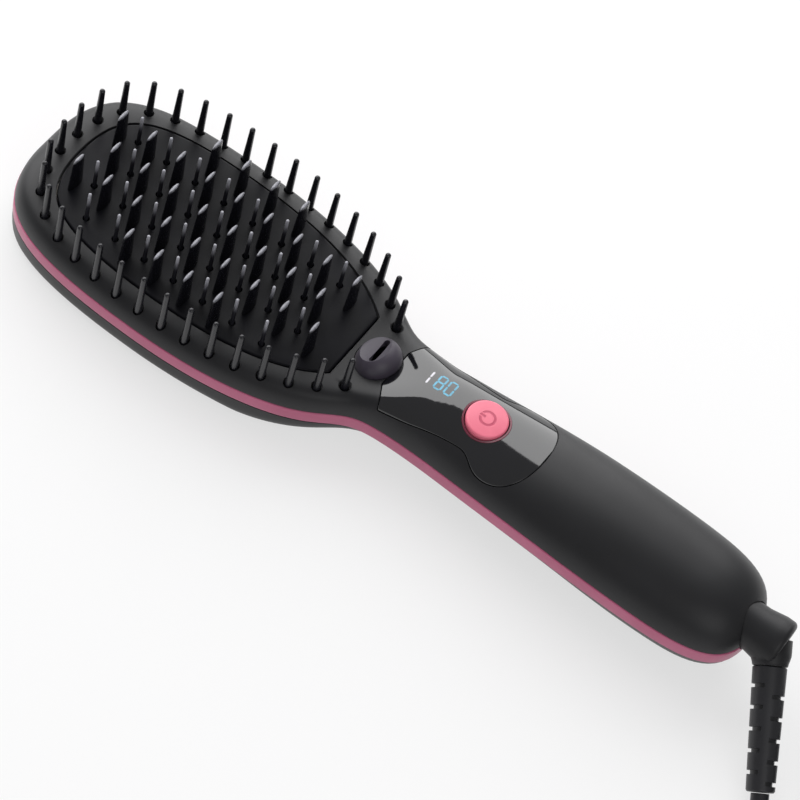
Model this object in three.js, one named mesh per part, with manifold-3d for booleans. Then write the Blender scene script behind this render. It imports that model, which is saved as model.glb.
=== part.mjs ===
// Hair straightening brush with a heated bristle plate, lying on its back with the bristles up.
// Millimetres. x runs from the centre of the head to the handle's end, y across, z up from the table.
import * as THREE from "three";
import { mergeVertices } from "three/addons/utils/BufferGeometryUtils.js";
import Module from "manifold-3d";

const wasm = await Module();
wasm.setup();

// Clearances
const seatGap = 0.3; // between a piece and what carries it
const seamGap = 0.3; // between the trim band and each housing
const slideGap = 0.35; // round what moves
const facetRoom = 0.3; // depth that the flats of the inner skin take
const spare = 5; // how far a cutting form reaches past what it cuts
const bite = 0.5; // how deep a joined form starts inside its neighbour

// Flats round turned forms, from the finest down
const fineSides = 32;
const roundSides = 24;
const elbowSides = 18;
const plainSides = 16;
const smallSides = 12;
const boreSides = 10;
const screwSides = 8;
const hair = 1e-3; // corners nearer than this are one

// Body outline seen from above
const headReach = 63; // head centre to tip
const headHalfWidth = 39.5;
const tipShoulder = 47; // where the round tip turns into the flank
const tipFullness = 32;
const flankX = 3; // widest place
const flankReach = 32;
const shoulderX = 70; // end of the flat bristle face
const shoulderHalfWidth = 25.2;
const shoulderSlope = 0.65;
const shoulderReach = 13;
const neckX = 93;
const neckHalfWidth = 17.4;
const neckReach = 13;
const neckOutReach = 21;
const gripX = 180;
const gripHalfWidth = 21.6;
const gripReach = 50;
const handleEnd = 227.5;
const handleEndReach = 34;
const handleEndFullness = 20;

// Body seen from the side
const faceHeight = 24.5;
const rampReach = 12;
const neckTopX = 108;
const neckHeight = 33.8;
const neckTopReach = 20;
const neckTopOutReach = 31;
const neckTopDip = 0.5;
const neckTopLift = 0.8;
const gripTopX = 190;
const gripHeight = 38.4;
const gripTopReach = 40;
const tipRound = 13; // how far the tip's edge rounds down
const tipPower = 2.4;
const endRound = 25; // how far the handle's end rounds down
const endPower = 2.6;
const seamLow = 13; // height of the trim band round the head
const seamRise = 7.4; // how much higher it runs round the grip
const seamRiseFrom = 56;
const seamRiseTo = 160;
const backSink = 0.8; // the round back is cut flat this far up at both ends of its resting face
const waistSink = 0.2; // and this far up between them, so the brush stands on the ends and can't rock
const waistFrontX = [-50, -40]; // where the resting face draws in behind the tip
const waistRearX = [34, 46]; // and where it widens again towards the neck
const neckClear = 3.6; // height of the back over the table at the neck
const neckClearX = [44, 92];
const gripClear = 0.6; // and at the grip
const gripClearX = [150, 190];

// Cross-sections change from boxy at the head to round at the neck
const sectionChange = [60, 100];
const backChange = [42, 92];
const tipChange = [-62, -34]; // the tip's top edge is rounder
const tipAcross = 4.5;
const topAcross = [12, 2.3];
const topUp = [2.6, 2.3];
const backAcross = [12, 1.85];
const backDown = [6, 1.85];
const ringSteps = 20;
const innerRingSteps = 16;
const outerStations = [9, 16, 6]; // sections at the tip, along the middle and at the end
const innerStations = [6, 8, 4];

// Housing
const wall = 2.6;
const bandHalf = 2.85;
const screwX = [150, 188];
const screwRadius = 1.5;
const screwHeadRadius = 3;
const screwHeadHeight = 1.8;
const screwHeadSink = 1.1;
const screwLength = 11;
const screwFloor = 6; // height of the boss in the rear housing over its underside
const pilotRoom = 1; // how much deeper a screw's hole is than the screw
const backBossRadius = 4.4;
const topBossRadius = 3.4;

// Outer ring of pins
const ringSide = 3.7; // pins stand this far in from the flank
const ringTip = 8.7;
const ringFullness = 27;
const ringShoulder = 40;
const ringFlankX = 2;
const ringEndX = 73;
const ringEndY = 15;
const ringEndReach = [13.5, 15];
const ringPins = 17; // on each side
const pinHeight = 17;
const pinRadius = 1.5;
const pinTipRadius = 0.95;
const pinSides = 6;
const socketRadius = 1.85;
const ringFrameTop = 17.6;
const ringFrameThick = 2;
const ringFrameWidth = 3.4;
const ringFrameSet = 0.3;

// Heater plate and its blades
const plateMargin = 5.6; // from the ring of pins to the plate's edge
const plateEndX = 66;
const plateThick = 3.2;
const plateGap = 0.4;
const rowPitch = 12;
const rowCount = 5;
const columnPitch = 12.2;
const columnStart = -48;
const bladeHeight = 15;
const bladeBase = 3.8;
const bladeTop = 2.9;
const bladeThick = 2.6;
const bladeTopThick = 1.5;
const bladeMargin = 4.6;
const bladeBevel = 1.3; // how far the blade's crest slopes off
const bladeCrest = [1.2, 0.5]; // shorter by, and share of the thickness, at the crest
const bladeCorner = 0.4; // share of the thickness that its ends are pointed by
const slimShift = [5.3, 3.6];
const slimRadius = 0.8;
const slimTipRadius = 0.55;
const slimHeight = 14.2;
const slimMargin = 3.4;
const slimSides = 5;
const combThick = 1.8;
const railWidth = 3.2;
const crossRailX = [-37, 50];
const sideLinkX = [-18, 28];
const frameThick = 2.2;
const frameLip = 1.2;

// Heating parts under the plate
const heaterSize = [70, 8, 2.4];
const heaterX = 5;
const clampThick = 1.6;
const clampMargin = 4; // clamp beyond its bosses
const clampWidth = 33;
const clampBossSpacing = 1; // from the elements' ends to the bosses
const clampBossRadius = 2.5;
const clampBossSkin = 1; // ceramic left over a boss's hole
const clampScrewRadius = 1;
const clampScrewHead = [2.1, 1.3];
const clampScrewLength = 4.6;
const fuseRadius = 2;
const fuseLength = 12;
const fuseX = 6;
const thermistorRadius = 1.4;
const thermistorLength = 6;
const thermistorX = -11;

// Ion outlet
const outletX = 75.9;
const outletRadii = [7.7, 8.4];
const outletTop = 32.6;
const outletRoot = 20.6;
const outletWall = 1.5;
const outletSkirt = 1; // how far the hood starts under the face
const outletLean = 0.8; // how far its top leans to the handle
const outletShares = [0, 0.35, 0.62, 0.82, 0.95];
const outletCurve = 2.5;
const outletSteps = 18;
const mouthSet = [1.9, 2];
const mouthDepth = 16;
const mouthLength = 10.8;
const mouthWidth = 2.5;
const mouthTilt = THREE.MathUtils.degToRad(38);
const needleRadius = 0.6;
const needleLength = 6;
const needleBlock = [3, 9, 3];
const needleSet = 2; // behind the hood's centre
const ionBox = [26, 12, 10];
const ionBoxX = 101;

// Control panel
const panelThick = 1.4;
const panelFrontX = 82.5;
const panelNoseY = 7.6; // half width of its straight front edge, behind the hood
const panelCornerX = 86.6;
const panelFrontY = 15.4;
const panelFrontReach = [10, 1];
const panelWaistX = 116;
const panelWaistY = 12.4;
const panelWaistReach = [8, 5];
const panelLobeX = 129;
const panelLobeY = 16.5;
const panelLobeReach = 7;
const panelEndX = 141.3;
const panelSpareX = 22; // body made on each side of the panel before it is cut to shape
const buttonX = 118;
const buttonRadius = 7.25;
const buttonRise = 1.3;
const buttonDepth = 5.2;
const buttonStem = 1.7;
const buttonTravel = 0.8;
const buttonEdge = [0.25, 0.2, 0.8, 0.6]; // its rounded edge: in, down, in, down
const boardDrop = 11.4; // from the neck's top to the board
const boardThick = 1.6;
const boardFrom = 88;
const boardTo = 138;
const boardHalfWidth = 10.5;
const boardPostX = [107.6, 132];
const boardPostRadius = 2.2;
const boardScrewRadius = 1;
const boardScrewHead = [2, 1.2];
const boardScrewLength = 6.5;
const displayX = 98;
const displaySize = [11, 7.6];
const switchSize = [6.2, 6.2, 4];
const switchBore = 2.2;
const switchBoreFloor = 1;
const plungerRadius = 1.7;
const plungerDepth = 1.6;

// Cord swivel
const swivelDrop = 12.5; // from the grip's top to the swivel's axis
const elbowX = 233.3;
const stubRadius = 8;
const elbowRadius = 9;
const elbowEnd = 237.7;
const elbowCorner = 1.8;
const elbowCornerShare = 0.3;
const neckInBush = 6;
const flangeRadius = 8;
const flangeThick = 3.2;
const bushFrom = 208;
const bushTo = 215;
const bushRadius = 9;
const ribThick = 2.4;
const contactRadius = 7;
const contactLength = 7;
const legHeading = THREE.MathUtils.degToRad(-56.3); // seen from above, with the handle along 0
const legRadius = 6.7;
const legLength = 8.5;
const legCorner = 0.5;
const guardEndHeight = 7;
const guardLength = 40;
const guardRadius = 5.6;
const guardTipRadius = 4.6;
const guardSlotPitch = 6.9;
const guardSlotWidth = 2.2;
const guardSpine = 1.3;
const guardSlots = 5;
const guardSlotStart = 3.5;

// Cord, coiled up behind the handle's end
const cordRadius = 3;
const cordSides = 10;
const coilInner = 23.5; // radius of the innermost turn
const coilPitch = 6.65;
const coilTurnback = 0.05; // share of a turn that rounds the reversal
const coilTurns = 4; // in each of two layers
const coilRise = 6.5;
const coilHeight = 4;
const coilSteps = 22;
const coilSides = 6;
const coilLead = 6;
const coilClimb = 0.25; // turns, on each side of the reversal
const cordLanding = [9, 14]; // distances from the guard at which the cord nears and meets the table
const cordNear = 0.35;
const bendRadius = 26;
const bendSteps = 6;
const storeHeading = THREE.MathUtils.degToRad(20);
const cordRun = 40; // from the bend to the coil
const tailLength = 26;
const tailShares = [0, 0.2, 0.5, 0.8, 1];
const tailFall = [0, 0, 0.5, 1, 1];
const tieWidth = 8;
const tieThick = 0.6;
const plugBody = [35, 26, 13.6];
const plugHeight = 7;
const plugNeck = 11;
const plugPinRadius = 2;
const plugPinLength = 19;
const plugPinSpacing = 18.6;
const plugPinTip = [1, 0.8];
const plugSquareness = 0.6;
const plugNeckRadius = 4.2;
const plugNeckEnd = [5, 4.6];
const plugShoulder = [6, 2.5, 0.6]; // how far past the neck, and how much slimmer it is there
const plugFull = 14; // from the neck to the full section
const plugTaper = [6, 0.6, 0.3]; // how far before the face, and how much slimmer
const plugFace = [1.6, 1]; // how much slimmer the face is

// Finishes
const finish = (color, roughness, metalness = 0) =>
  new THREE.MeshStandardMaterial({ color, roughness, metalness });
const softTouch = finish(0x26262b, 0.62);
const pinkTrim = finish(0xb5607a, 0.45);
const pinkGloss = finish(0xe8809a, 0.3);
const blackGloss = finish(0x0c0c10, 0.12);
const blackCeramic = finish(0x121216, 0.2);
const blackNylon = finish(0x17171a, 0.45);
const darkRubber = finish(0x2a2a2e, 0.75);
const paleNylon = finish(0xd8d4cc, 0.5);
const boardGreen = finish(0x1f5b38, 0.5);
const steel = finish(0xb8bcc2, 0.3, 1);
const brass = finish(0xc9a55a, 0.35, 1);
const ceramic = finish(0xe6e0d6, 0.6);

const assembly = new THREE.Group();
const cordage = new THREE.Group();

function place(name, geometry, material, group = assembly) {
  const mesh = new THREE.Mesh(geometry, material);
  mesh.name = name;
  group.add(mesh);
}

// Solids for joining and cutting
function solid(geometry) {
  const bare = geometry.index ? geometry.toNonIndexed() : geometry.clone();
  for (const extra of Object.keys(bare.attributes)) {
    if (extra !== "position") bare.deleteAttribute(extra);
  }
  const merged = mergeVertices(bare, hair);
  return new wasm.Manifold(
    new wasm.Mesh({
      numProp: 3,
      vertProperties: merged.attributes.position.array,
      triVerts: new Uint32Array(merged.index.array),
    }),
  );
}

function geometryOf(made) {
  const { vertProperties, triVerts } = made.getMesh();
  return new THREE.BufferGeometry()
    .setAttribute("position", new THREE.BufferAttribute(vertProperties, 3))
    .setIndex(new THREE.BufferAttribute(triVerts, 1));
}

const join = (solids) => solids.reduce((all, next) => all.add(next));
const cut = (from, solids) => solids.reduce((left, next) => left.subtract(next), from);

// Plain forms
const cylinderZ = (x, y, bottom, top, radius, sides = plainSides) =>
  solid(
    new THREE.CylinderGeometry(radius, radius, top - bottom, sides)
      .rotateX(Math.PI / 2)
      .translate(x, y, (top + bottom) / 2),
  );

const cylinderX = (from, to, y, z, radius, sides = roundSides) =>
  solid(
    new THREE.CylinderGeometry(radius, radius, to - from, sides)
      .rotateZ(Math.PI / 2)
      .translate((from + to) / 2, y, z),
  );

const block = (size, x, y, z) => solid(new THREE.BoxGeometry(...size).translate(x, y, z));

const lathe = (profile, sides) =>
  new THREE.LatheGeometry(
    profile.map(([radius, height]) => new THREE.Vector2(radius, height)),
    sides,
  );

// Upright prism over an outline of x, y pairs
function prism(outline, bottom, top) {
  const shape = new THREE.Shape(outline.map(([x, y]) => new THREE.Vector2(x, y)));
  return solid(
    new THREE.ExtrudeGeometry(shape, { depth: top - bottom, bevelEnabled: false }).translate(0, 0, bottom),
  );
}

// Prism across the body over a side view of x, z pairs
function sidePrism(outline, halfDepth) {
  const shape = new THREE.Shape(outline.map(([x, z]) => new THREE.Vector2(x, z)));
  return solid(
    new THREE.ExtrudeGeometry(shape, { depth: 2 * halfDepth, bevelEnabled: false })
      .rotateX(Math.PI / 2)
      .translate(0, halfDepth, 0),
  );
}

// Closed skin through rings of points, with a point or a fan at each end
function loft(rings, first, last) {
  const count = rings[0].length;
  const points = [...rings.flat(), first, last];
  const start = rings.length * count;
  const index = [];
  for (let ring = 0; ring + 1 < rings.length; ring++) {
    for (let step = 0; step < count; step++) {
      const near = ring * count + step;
      const next = ring * count + ((step + 1) % count);
      index.push(near, next, near + count, next, next + count, near + count);
    }
  }
  for (let step = 0; step < count; step++) {
    const next = (step + 1) % count;
    index.push(start, next, step);
    index.push(start + 1, start - count + step, start - count + next);
  }
  return new THREE.BufferGeometry()
    .setAttribute("position", new THREE.Float32BufferAttribute(points.flat(), 3))
    .setIndex(index);
}

// Lines through cubic curves, as x, y pairs that run towards the handle
const bodySamples = 24;
const trimSamples = 6;

function chain(curves, samples) {
  return curves.flatMap((corners, place) => {
    const handles = corners.map(([x, y]) => new THREE.Vector2(x, y));
    const curve = new THREE.CubicBezierCurve(...handles);
    const points = curve.getPoints(samples).map((point) => [point.x, point.y]);
    return place ? points.slice(1) : points;
  });
}

// The same line moved inwards by a distance, on its side away from the axis
function inset(line, distance) {
  return line.map(([x, y], place) => {
    const before = line[Math.max(0, place - 1)];
    const after = line[Math.min(line.length - 1, place + 1)];
    const along = [after[0] - before[0], after[1] - before[1]];
    const length = Math.hypot(...along);
    if (place === 0 && y === 0) return [x + distance, 0];
    if (place === line.length - 1 && y === 0) return [x - distance, 0];
    return [x + (distance * along[1]) / length, y - (distance * along[0]) / length];
  });
}

function heightOn(line, x) {
  const after = line.findIndex((point) => point[0] >= x);
  if (after < 0) return line[line.length - 1][1];
  if (after === 0) return line[0][1];
  const [x0, y0] = line[after - 1];
  const [x1, y1] = line[after];
  return y0 + ((y1 - y0) * (x - x0)) / (x1 - x0);
}

// Closed outline from a line over the axis and its mirror image
function mirrored(line) {
  const back = [...line].reverse().map(([x, y]) => [x, -y]);
  const open = (point) => Math.abs(point[1]) > hair;
  return [...line, ...back.filter(open)];
}

const smooth = (from, to, x) => THREE.MathUtils.smoothstep(x, from, to);
const mix = ([from, to], share) => THREE.MathUtils.lerp(from, to, share);
const power = (base, exponent) => Math.sign(base) * Math.abs(base) ** exponent;

// The moulded body
const plan = chain([
  [
    [-headReach, 0],
    [-headReach, tipFullness],
    [-tipShoulder, headHalfWidth],
    [flankX, headHalfWidth],
  ],
  [
    [flankX, headHalfWidth],
    [flankX + flankReach, headHalfWidth],
    [shoulderX - shoulderReach, shoulderHalfWidth + shoulderSlope * shoulderReach],
    [shoulderX, shoulderHalfWidth],
  ],
  [
    [shoulderX, shoulderHalfWidth],
    [shoulderX + shoulderReach * shoulderSlope, shoulderHalfWidth - shoulderReach * shoulderSlope ** 2],
    [neckX - neckReach, neckHalfWidth],
    [neckX, neckHalfWidth],
  ],
  [
    [neckX, neckHalfWidth],
    [neckX + neckOutReach, neckHalfWidth],
    [gripX - gripReach, gripHalfWidth],
    [gripX, gripHalfWidth],
  ],
  [
    [gripX, gripHalfWidth],
    [gripX + handleEndReach, gripHalfWidth],
    [handleEnd, handleEndFullness],
    [handleEnd, 0],
  ],
], bodySamples);

const crest = chain([
  [
    [-headReach, faceHeight],
    [-tipShoulder, faceHeight],
    [flankX, faceHeight],
    [shoulderX, faceHeight],
  ],
  [
    [shoulderX, faceHeight],
    [shoulderX + rampReach, faceHeight],
    [neckTopX - neckTopReach, neckHeight - neckTopDip],
    [neckTopX, neckHeight],
  ],
  [
    [neckTopX, neckHeight],
    [neckTopX + neckTopOutReach, neckHeight + neckTopLift],
    [gripTopX - gripTopReach, gripHeight],
    [gripTopX, gripHeight],
  ],
], bodySamples);

const seamAt = (x) => seamLow + seamRise * smooth(seamRiseFrom, seamRiseTo, x);

// Height of the back's lowest line, before it is cut flat at the table
const sinkAt = (x) =>
  mix([backSink, waistSink], smooth(...waistFrontX, x) - smooth(...waistRearX, x));
const keelAt = (x) =>
  mix([-sinkAt(x), neckClear], smooth(...neckClearX, x)) -
  mix([0, neckClear - gripClear], smooth(...gripClearX, x));
const undersideAt = (x) => Math.max(keelAt(x), 0);

function endShare(x, depth) {
  const fromTip = (x + headReach - depth) / (tipRound - depth);
  const fromEnd = (handleEnd - depth - x) / (endRound - depth);
  const round = (reach, exponent) =>
    reach >= 1 ? 1 : (1 - (1 - Math.max(reach, 0)) ** exponent) ** (1 / exponent);
  return round(fromTip, tipPower) * round(fromEnd, endPower);
}

const topAcrossAt = (x) =>
  mix([tipAcross, mix(topAcross, smooth(...sectionChange, x))], smooth(...tipChange, x));

const insetPlans = new Map();

function halfWidthAt(x, depth) {
  if (!insetPlans.has(depth)) insetPlans.set(depth, depth ? inset(plan, depth) : plan);
  return heightOn(insetPlans.get(depth), x);
}

// Height of the top surface, moved inwards by depth
function topAt(x, y, depth) {
  const change = smooth(...sectionChange, x);
  const share = Math.min(1, Math.abs(y) / halfWidthAt(x, depth));
  const fall = (1 - share ** topAcrossAt(x)) ** (1 / mix(topUp, change));
  return seamAt(x) + (heightOn(crest, x) - depth - seamAt(x)) * endShare(x, depth) * fall;
}

// Height of the floor inside the rear housing
function floorAt(x, y) {
  const change = smooth(...backChange, x);
  const share = Math.min(1, Math.abs(y) / halfWidthAt(x, wall));
  const fall = (1 - share ** mix(backAcross, change)) ** (1 / mix(backDown, change));
  const deep = seamAt(x) - undersideAt(x) - wall;
  return seamAt(x) - deep * endShare(x, wall) * fall + facetRoom;
}

function bodyRing(x, depth, steps) {
  const half = halfWidthAt(x, depth);
  const seam = seamAt(x);
  const rise = (heightOn(crest, x) - depth - seam) * endShare(x, depth);
  const sink = (seam - (depth ? undersideAt(x) + depth : keelAt(x))) * endShare(x, depth);
  return Array.from({ length: steps }, (_, step) => {
    const turn = (2 * Math.PI * step) / steps;
    const above = step <= steps / 2;
    const change = smooth(...(above ? sectionChange : backChange), x);
    const across = above ? topAcrossAt(x) : mix(backAcross, change);
    const upright = mix(above ? topUp : backDown, change);
    const y = half * power(Math.cos(turn), 2 / across);
    const z = seam + (above ? rise : sink) * power(Math.sin(turn), 2 / upright);
    return [x, y, Math.max(z, 0)];
  });
}

function stations(depth, tipSteps, middleSteps, endSteps) {
  const tip = -headReach + depth;
  const end = handleEnd - depth;
  const quarter = Math.PI / 2;
  const list = [];
  for (let step = 1; step < tipSteps; step++) {
    list.push(tip * Math.cos((quarter * step) / tipSteps));
  }
  for (let step = 0; step < middleSteps; step++) list.push((gripX * step) / middleSteps);
  for (let step = 0; step < endSteps; step++) {
    list.push(gripX + (end - gripX) * Math.sin((quarter * step) / endSteps));
  }
  return list;
}

function bodySolid(depth, steps, places) {
  const rings = places.map((x) => bodyRing(x, depth, steps));
  const first = [-headReach + depth, 0, seamAt(-headReach)];
  const last = [handleEnd - depth, 0, seamAt(handleEnd)];
  return solid(loft(rings, first, last));
}

const outerPlaces = stations(0, ...outerStations);
const outerBody = bodySolid(0, ringSteps, outerPlaces);

// The body under the control panel, moved inwards by depth and cut off flat at both ends
function panelCore(depth) {
  const near = (x) => x > panelFrontX - panelSpareX && x < panelEndX + panelSpareX;
  const places = outerPlaces.filter(near);
  const [from, to] = [places[0], places.at(-1)];
  const rings = places.map((x) => bodyRing(x, depth, ringSteps));
  return solid(loft(rings, [from, 0, seamAt(from)], [to, 0, seamAt(to)]));
}

const innerBody = bodySolid(wall, innerRingSteps, stations(wall, ...innerStations));
const shell = outerBody.subtract(innerBody);

// Slices of the body that follow the trim band
const slicePlaces = [-headReach - wall, ...outerPlaces, handleEnd + wall];

function slice(low, high) {
  const edge = (shift) => slicePlaces.map((x) => [x, seamAt(x) + shift]);
  const level = (height) => [slicePlaces[0], slicePlaces.at(-1)].map((x) => [x, height]);
  const under = low === null ? level(-spare) : edge(low);
  const over = high === null ? level(gripHeight + spare) : edge(high);
  return sidePrism([...under, ...over.reverse()], headHalfWidth + spare);
}

const upperSlice = slice(bandHalf + seamGap, null);
const bandSlice = slice(-bandHalf, bandHalf);
const rearSlice = slice(null, -bandHalf - seamGap);

// Ring of pins and its carrying frame
const ringLine = chain([
  [
    [-headReach + ringTip, 0],
    [-headReach + ringTip, ringFullness],
    [-ringShoulder, headHalfWidth - ringSide],
    [ringFlankX, headHalfWidth - ringSide],
  ],
  [
    [ringFlankX, headHalfWidth - ringSide],
    [ringFlankX + flankReach, headHalfWidth - ringSide],
    [ringEndX - ringEndReach[0], ringEndY + ringEndReach[1]],
    [ringEndX, ringEndY],
  ],
], trimSamples);

function evenlySpaced(line, count) {
  const reach = [0];
  line.slice(1).forEach(([x, y], place) => {
    reach.push(reach[place] + Math.hypot(x - line[place][0], y - line[place][1]));
  });
  const spacing = reach.at(-1) / (count - 0.5);
  return Array.from({ length: count }, (_, step) => {
    const target = Math.min(spacing * (step + 0.5), reach.at(-1));
    const after = Math.max(1, reach.findIndex((length) => length >= target - hair));
    const share = (target - reach[after - 1]) / (reach[after] - reach[after - 1]);
    return [0, 1].map((axis) => mix([line[after - 1][axis], line[after][axis]], share));
  });
}

const ringPlaces = evenlySpaced(ringLine, ringPins).flatMap(([x, y]) => [
  [x, y],
  [x, -y],
]);

function taperedPin(x, y, bottom, top, radius, tipRadius, sides) {
  const profile = [
    [0, bottom],
    [radius, bottom],
    [radius, faceHeight],
    [tipRadius, top - tipRadius],
    [0, top],
  ];
  return solid(lathe(profile, sides).rotateX(Math.PI / 2).translate(x, y, 0));
}

const ringFrameBottom = ringFrameTop - ringFrameThick;
const ringFrame = prism(
  mirroredStrip(ringLine, ringFrameSet, ringFrameSet + ringFrameWidth),
  ringFrameBottom,
  ringFrameTop,
);

// Open strip between two insets of a line, round the tip from one side to the other
function mirroredStrip(line, near, far) {
  const outside = inset(line, near);
  const inside = inset(line, far);
  const back = (part) => part.slice(1).map(([x, y]) => [x, -y]);
  const outerPath = [...back(outside).reverse(), ...outside];
  const innerPath = [...back(inside).reverse(), ...inside];
  return [...outerPath, ...innerPath.reverse()];
}

const ringPinSolids = ringPlaces.map(([x, y]) =>
  taperedPin(x, y, ringFrameBottom + bite, faceHeight + pinHeight, pinRadius, pinTipRadius, pinSides),
);
place("bristle_ring", geometryOf(join([ringFrame, ...ringPinSolids])), blackNylon);

// Heater plate
const plateLine = inset(ringLine, plateMargin).filter(([x]) => x < plateEndX);
const plateTip = plateLine[0][0];
const plateHalfAt = (x) => heightOn(plateLine, x);
const plateCorner = [plateEndX, heightOn(inset(ringLine, plateMargin), plateEndX)];
const plateOutline = mirrored([...plateLine, plateCorner]);

// The plate's outline grown or shrunk, with its straight end moved as well
function plateOffset(growth) {
  const line = inset(ringLine, plateMargin - growth);
  const end = plateEndX + growth;
  const kept = line.filter(([x]) => x < end);
  return mirrored([...kept, [end, heightOn(line, end)]]);
}

const plateTop = faceHeight;
const plateBottom = plateTop - plateThick;
const underPlate = plateBottom - seatGap;

const insidePlate = (x, y, margin) =>
  x > plateTip + margin && x < plateEndX - margin && Math.abs(y) < plateHalfAt(x) - margin;

function lattice(shiftX, shiftY, margin) {
  const places = [];
  for (let row = 0; row < rowCount; row++) {
    const y = (row - (rowCount - 1) / 2) * rowPitch + shiftY;
    const stagger = row % 2 ? columnPitch / 2 : 0;
    for (let x = columnStart + stagger + shiftX; x < plateEndX; x += columnPitch) {
      if (insidePlate(x, y, margin)) places.push([x, y]);
    }
  }
  return places;
}

const bladePlaces = lattice(0, 0, bladeMargin);
const combFrom = crossRailX[0] - railWidth / 2;
const combTo = crossRailX[1] + railWidth / 2;
const slimPlaces = lattice(...slimShift, slimMargin).filter(([x]) => x > combFrom && x < combTo);

function blade(x, y) {
  const levels = [
    [plateTop - bite, bladeBase, bladeThick],
    [plateTop + bladeHeight - bladeBevel, bladeTop, bladeTopThick],
    [plateTop + bladeHeight, bladeTop - bladeCrest[0], bladeTopThick * bladeCrest[1]],
  ];
  const rings = levels.map(([z, half, thick]) => {
    const side = half - thick * bladeCorner;
    return [
      [x, y - half, z],
      [x + thick / 2, y - side, z],
      [x + thick / 2, y + side, z],
      [x, y + half, z],
      [x - thick / 2, y + side, z],
      [x - thick / 2, y - side, z],
    ];
  });
  return solid(loft(rings, [x, y, levels[0][0]], [x, y, levels.at(-1)[0]]));
}

const clampTop = underPlate - heaterSize[2] - seatGap;
const bossY = -rowPitch / 2 + slimShift[1];
const bossReach = heaterSize[0] / 2 + clampBossSpacing;
const clampBossX = [heaterX - bossReach, heaterX + bossReach];
const clampBosses = clampBossX.map((x) =>
  cylinderZ(x, bossY, clampTop + seatGap, plateTop - bite, clampBossRadius),
);
const clampPilots = clampBossX.map((x) =>
  cylinderZ(x, bossY, clampTop - spare, plateTop - clampBossSkin, clampScrewRadius + seatGap, boreSides),
);
const slimHoles = slimPlaces.map(([x, y]) =>
  cylinderZ(x, y, plateBottom - bite, plateTop + bite, slimRadius + seatGap, slimSides),
);
const plateBlank = join([
  prism(plateOutline, plateBottom, plateTop),
  ...clampBosses,
  ...bladePlaces.map(([x, y]) => blade(x, y)),
]);
place("heater_plate", geometryOf(cut(plateBlank, [...slimHoles, ...clampPilots])), blackCeramic);

// Comb of slim pins that pass through the plate
const combLevel = underPlate - combThick / 2;
const railRows = [...new Set(slimPlaces.map(([, y]) => y))];
const rails = railRows.map((y) =>
  block([combTo - combFrom, railWidth, combThick], (combFrom + combTo) / 2, y, combLevel),
);
const crossWidth = Math.max(...railRows) - Math.min(...railRows) + railWidth;
const crossY = (Math.max(...railRows) + Math.min(...railRows)) / 2;
const crossRails = crossRailX.map((x) => block([railWidth, crossWidth, combThick], x, crossY, combLevel));
const outside = railRows.filter((y) => Math.abs(y - bossY) > 2 * rowPitch); // beyond the heating elements
const sideLinks = outside.flatMap((y) =>
  sideLinkX.map((x) =>
    block([railWidth, rowPitch, combThick], x, y - (Math.sign(y) * rowPitch) / 2, combLevel),
  ),
);
const combLimit = prism(plateOffset(-frameLip - seatGap), 0, faceHeight);
const combPins = slimPlaces.map(([x, y]) =>
  taperedPin(x, y, combLevel, plateTop + slimHeight, slimRadius, slimTipRadius, slimSides),
);
const combBase = join([...rails, ...crossRails, ...sideLinks]).intersect(combLimit);
place("pin_comb", geometryOf(join([combBase, ...combPins])), blackNylon);

// Insulating frame under the plate's edge
const heaterFrame = prism(plateOffset(frameLip), underPlate - frameThick, underPlate).subtract(
  prism(plateOffset(-frameLip), underPlate - frameThick - spare, underPlate + spare),
);
place("heater_frame", geometryOf(heaterFrame), paleNylon);

// Heating elements, their clamp and its screws
const heaterY = [-rowPitch * 1.5 + slimShift[1], rowPitch / 2 + slimShift[1]];
heaterY.forEach((y, number) => {
  const shape = block(heaterSize, heaterX, y, underPlate - heaterSize[2] / 2);
  place(`heating_element_${number + 1}`, geometryOf(shape), ceramic);
});
const clampHoles = clampBossX.map((x) => cylinderZ(x, bossY, 0, faceHeight, clampScrewRadius + seatGap, boreSides));
const clampSize = [2 * (bossReach + clampMargin), clampWidth, clampThick];
const clampPlate = block(clampSize, heaterX, bossY, clampTop - clampThick / 2);
place("heater_clamp", geometryOf(cut(clampPlate, clampHoles)), steel);

// Screw that points up, with its head's top at the given height
function screwUp(x, y, headTop, length, radius, [headRadius, headHeight]) {
  const profile = [
    [0, headTop - headHeight],
    [headRadius, headTop - headHeight],
    [headRadius, headTop],
    [radius, headTop],
    [radius, headTop + length - radius],
    [0, headTop + length],
  ];
  return lathe(profile, screwSides).rotateX(Math.PI / 2).translate(x, y, 0);
}

clampBossX.forEach((x, number) => {
  const headTop = clampTop - clampThick - seatGap;
  const shape = screwUp(x, bossY, headTop, clampScrewLength, clampScrewRadius, clampScrewHead);
  place(`clamp_screw_${number + 1}`, shape, steel);
});

// Fuse and sensor lie under the plate in the channel beside the second element
const channelY = heaterY[1] + rowPitch;
const lying = (x, length, radius) =>
  cylinderX(x - length / 2, x + length / 2, channelY, underPlate - radius, radius, smallSides);
place("thermal_fuse", geometryOf(lying(fuseX, fuseLength, fuseRadius)), steel);
place("thermistor", geometryOf(lying(thermistorX, thermistorLength, thermistorRadius)), ceramic);

// Ion outlet: an oval hood with a slot that faces the bristles
function ellipseRing(x, radii, z, steps) {
  return Array.from({ length: steps }, (_, step) => {
    const turn = (2 * Math.PI * step) / steps;
    return [x + radii[0] * Math.cos(turn), radii[1] * Math.sin(turn), z];
  });
}

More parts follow.
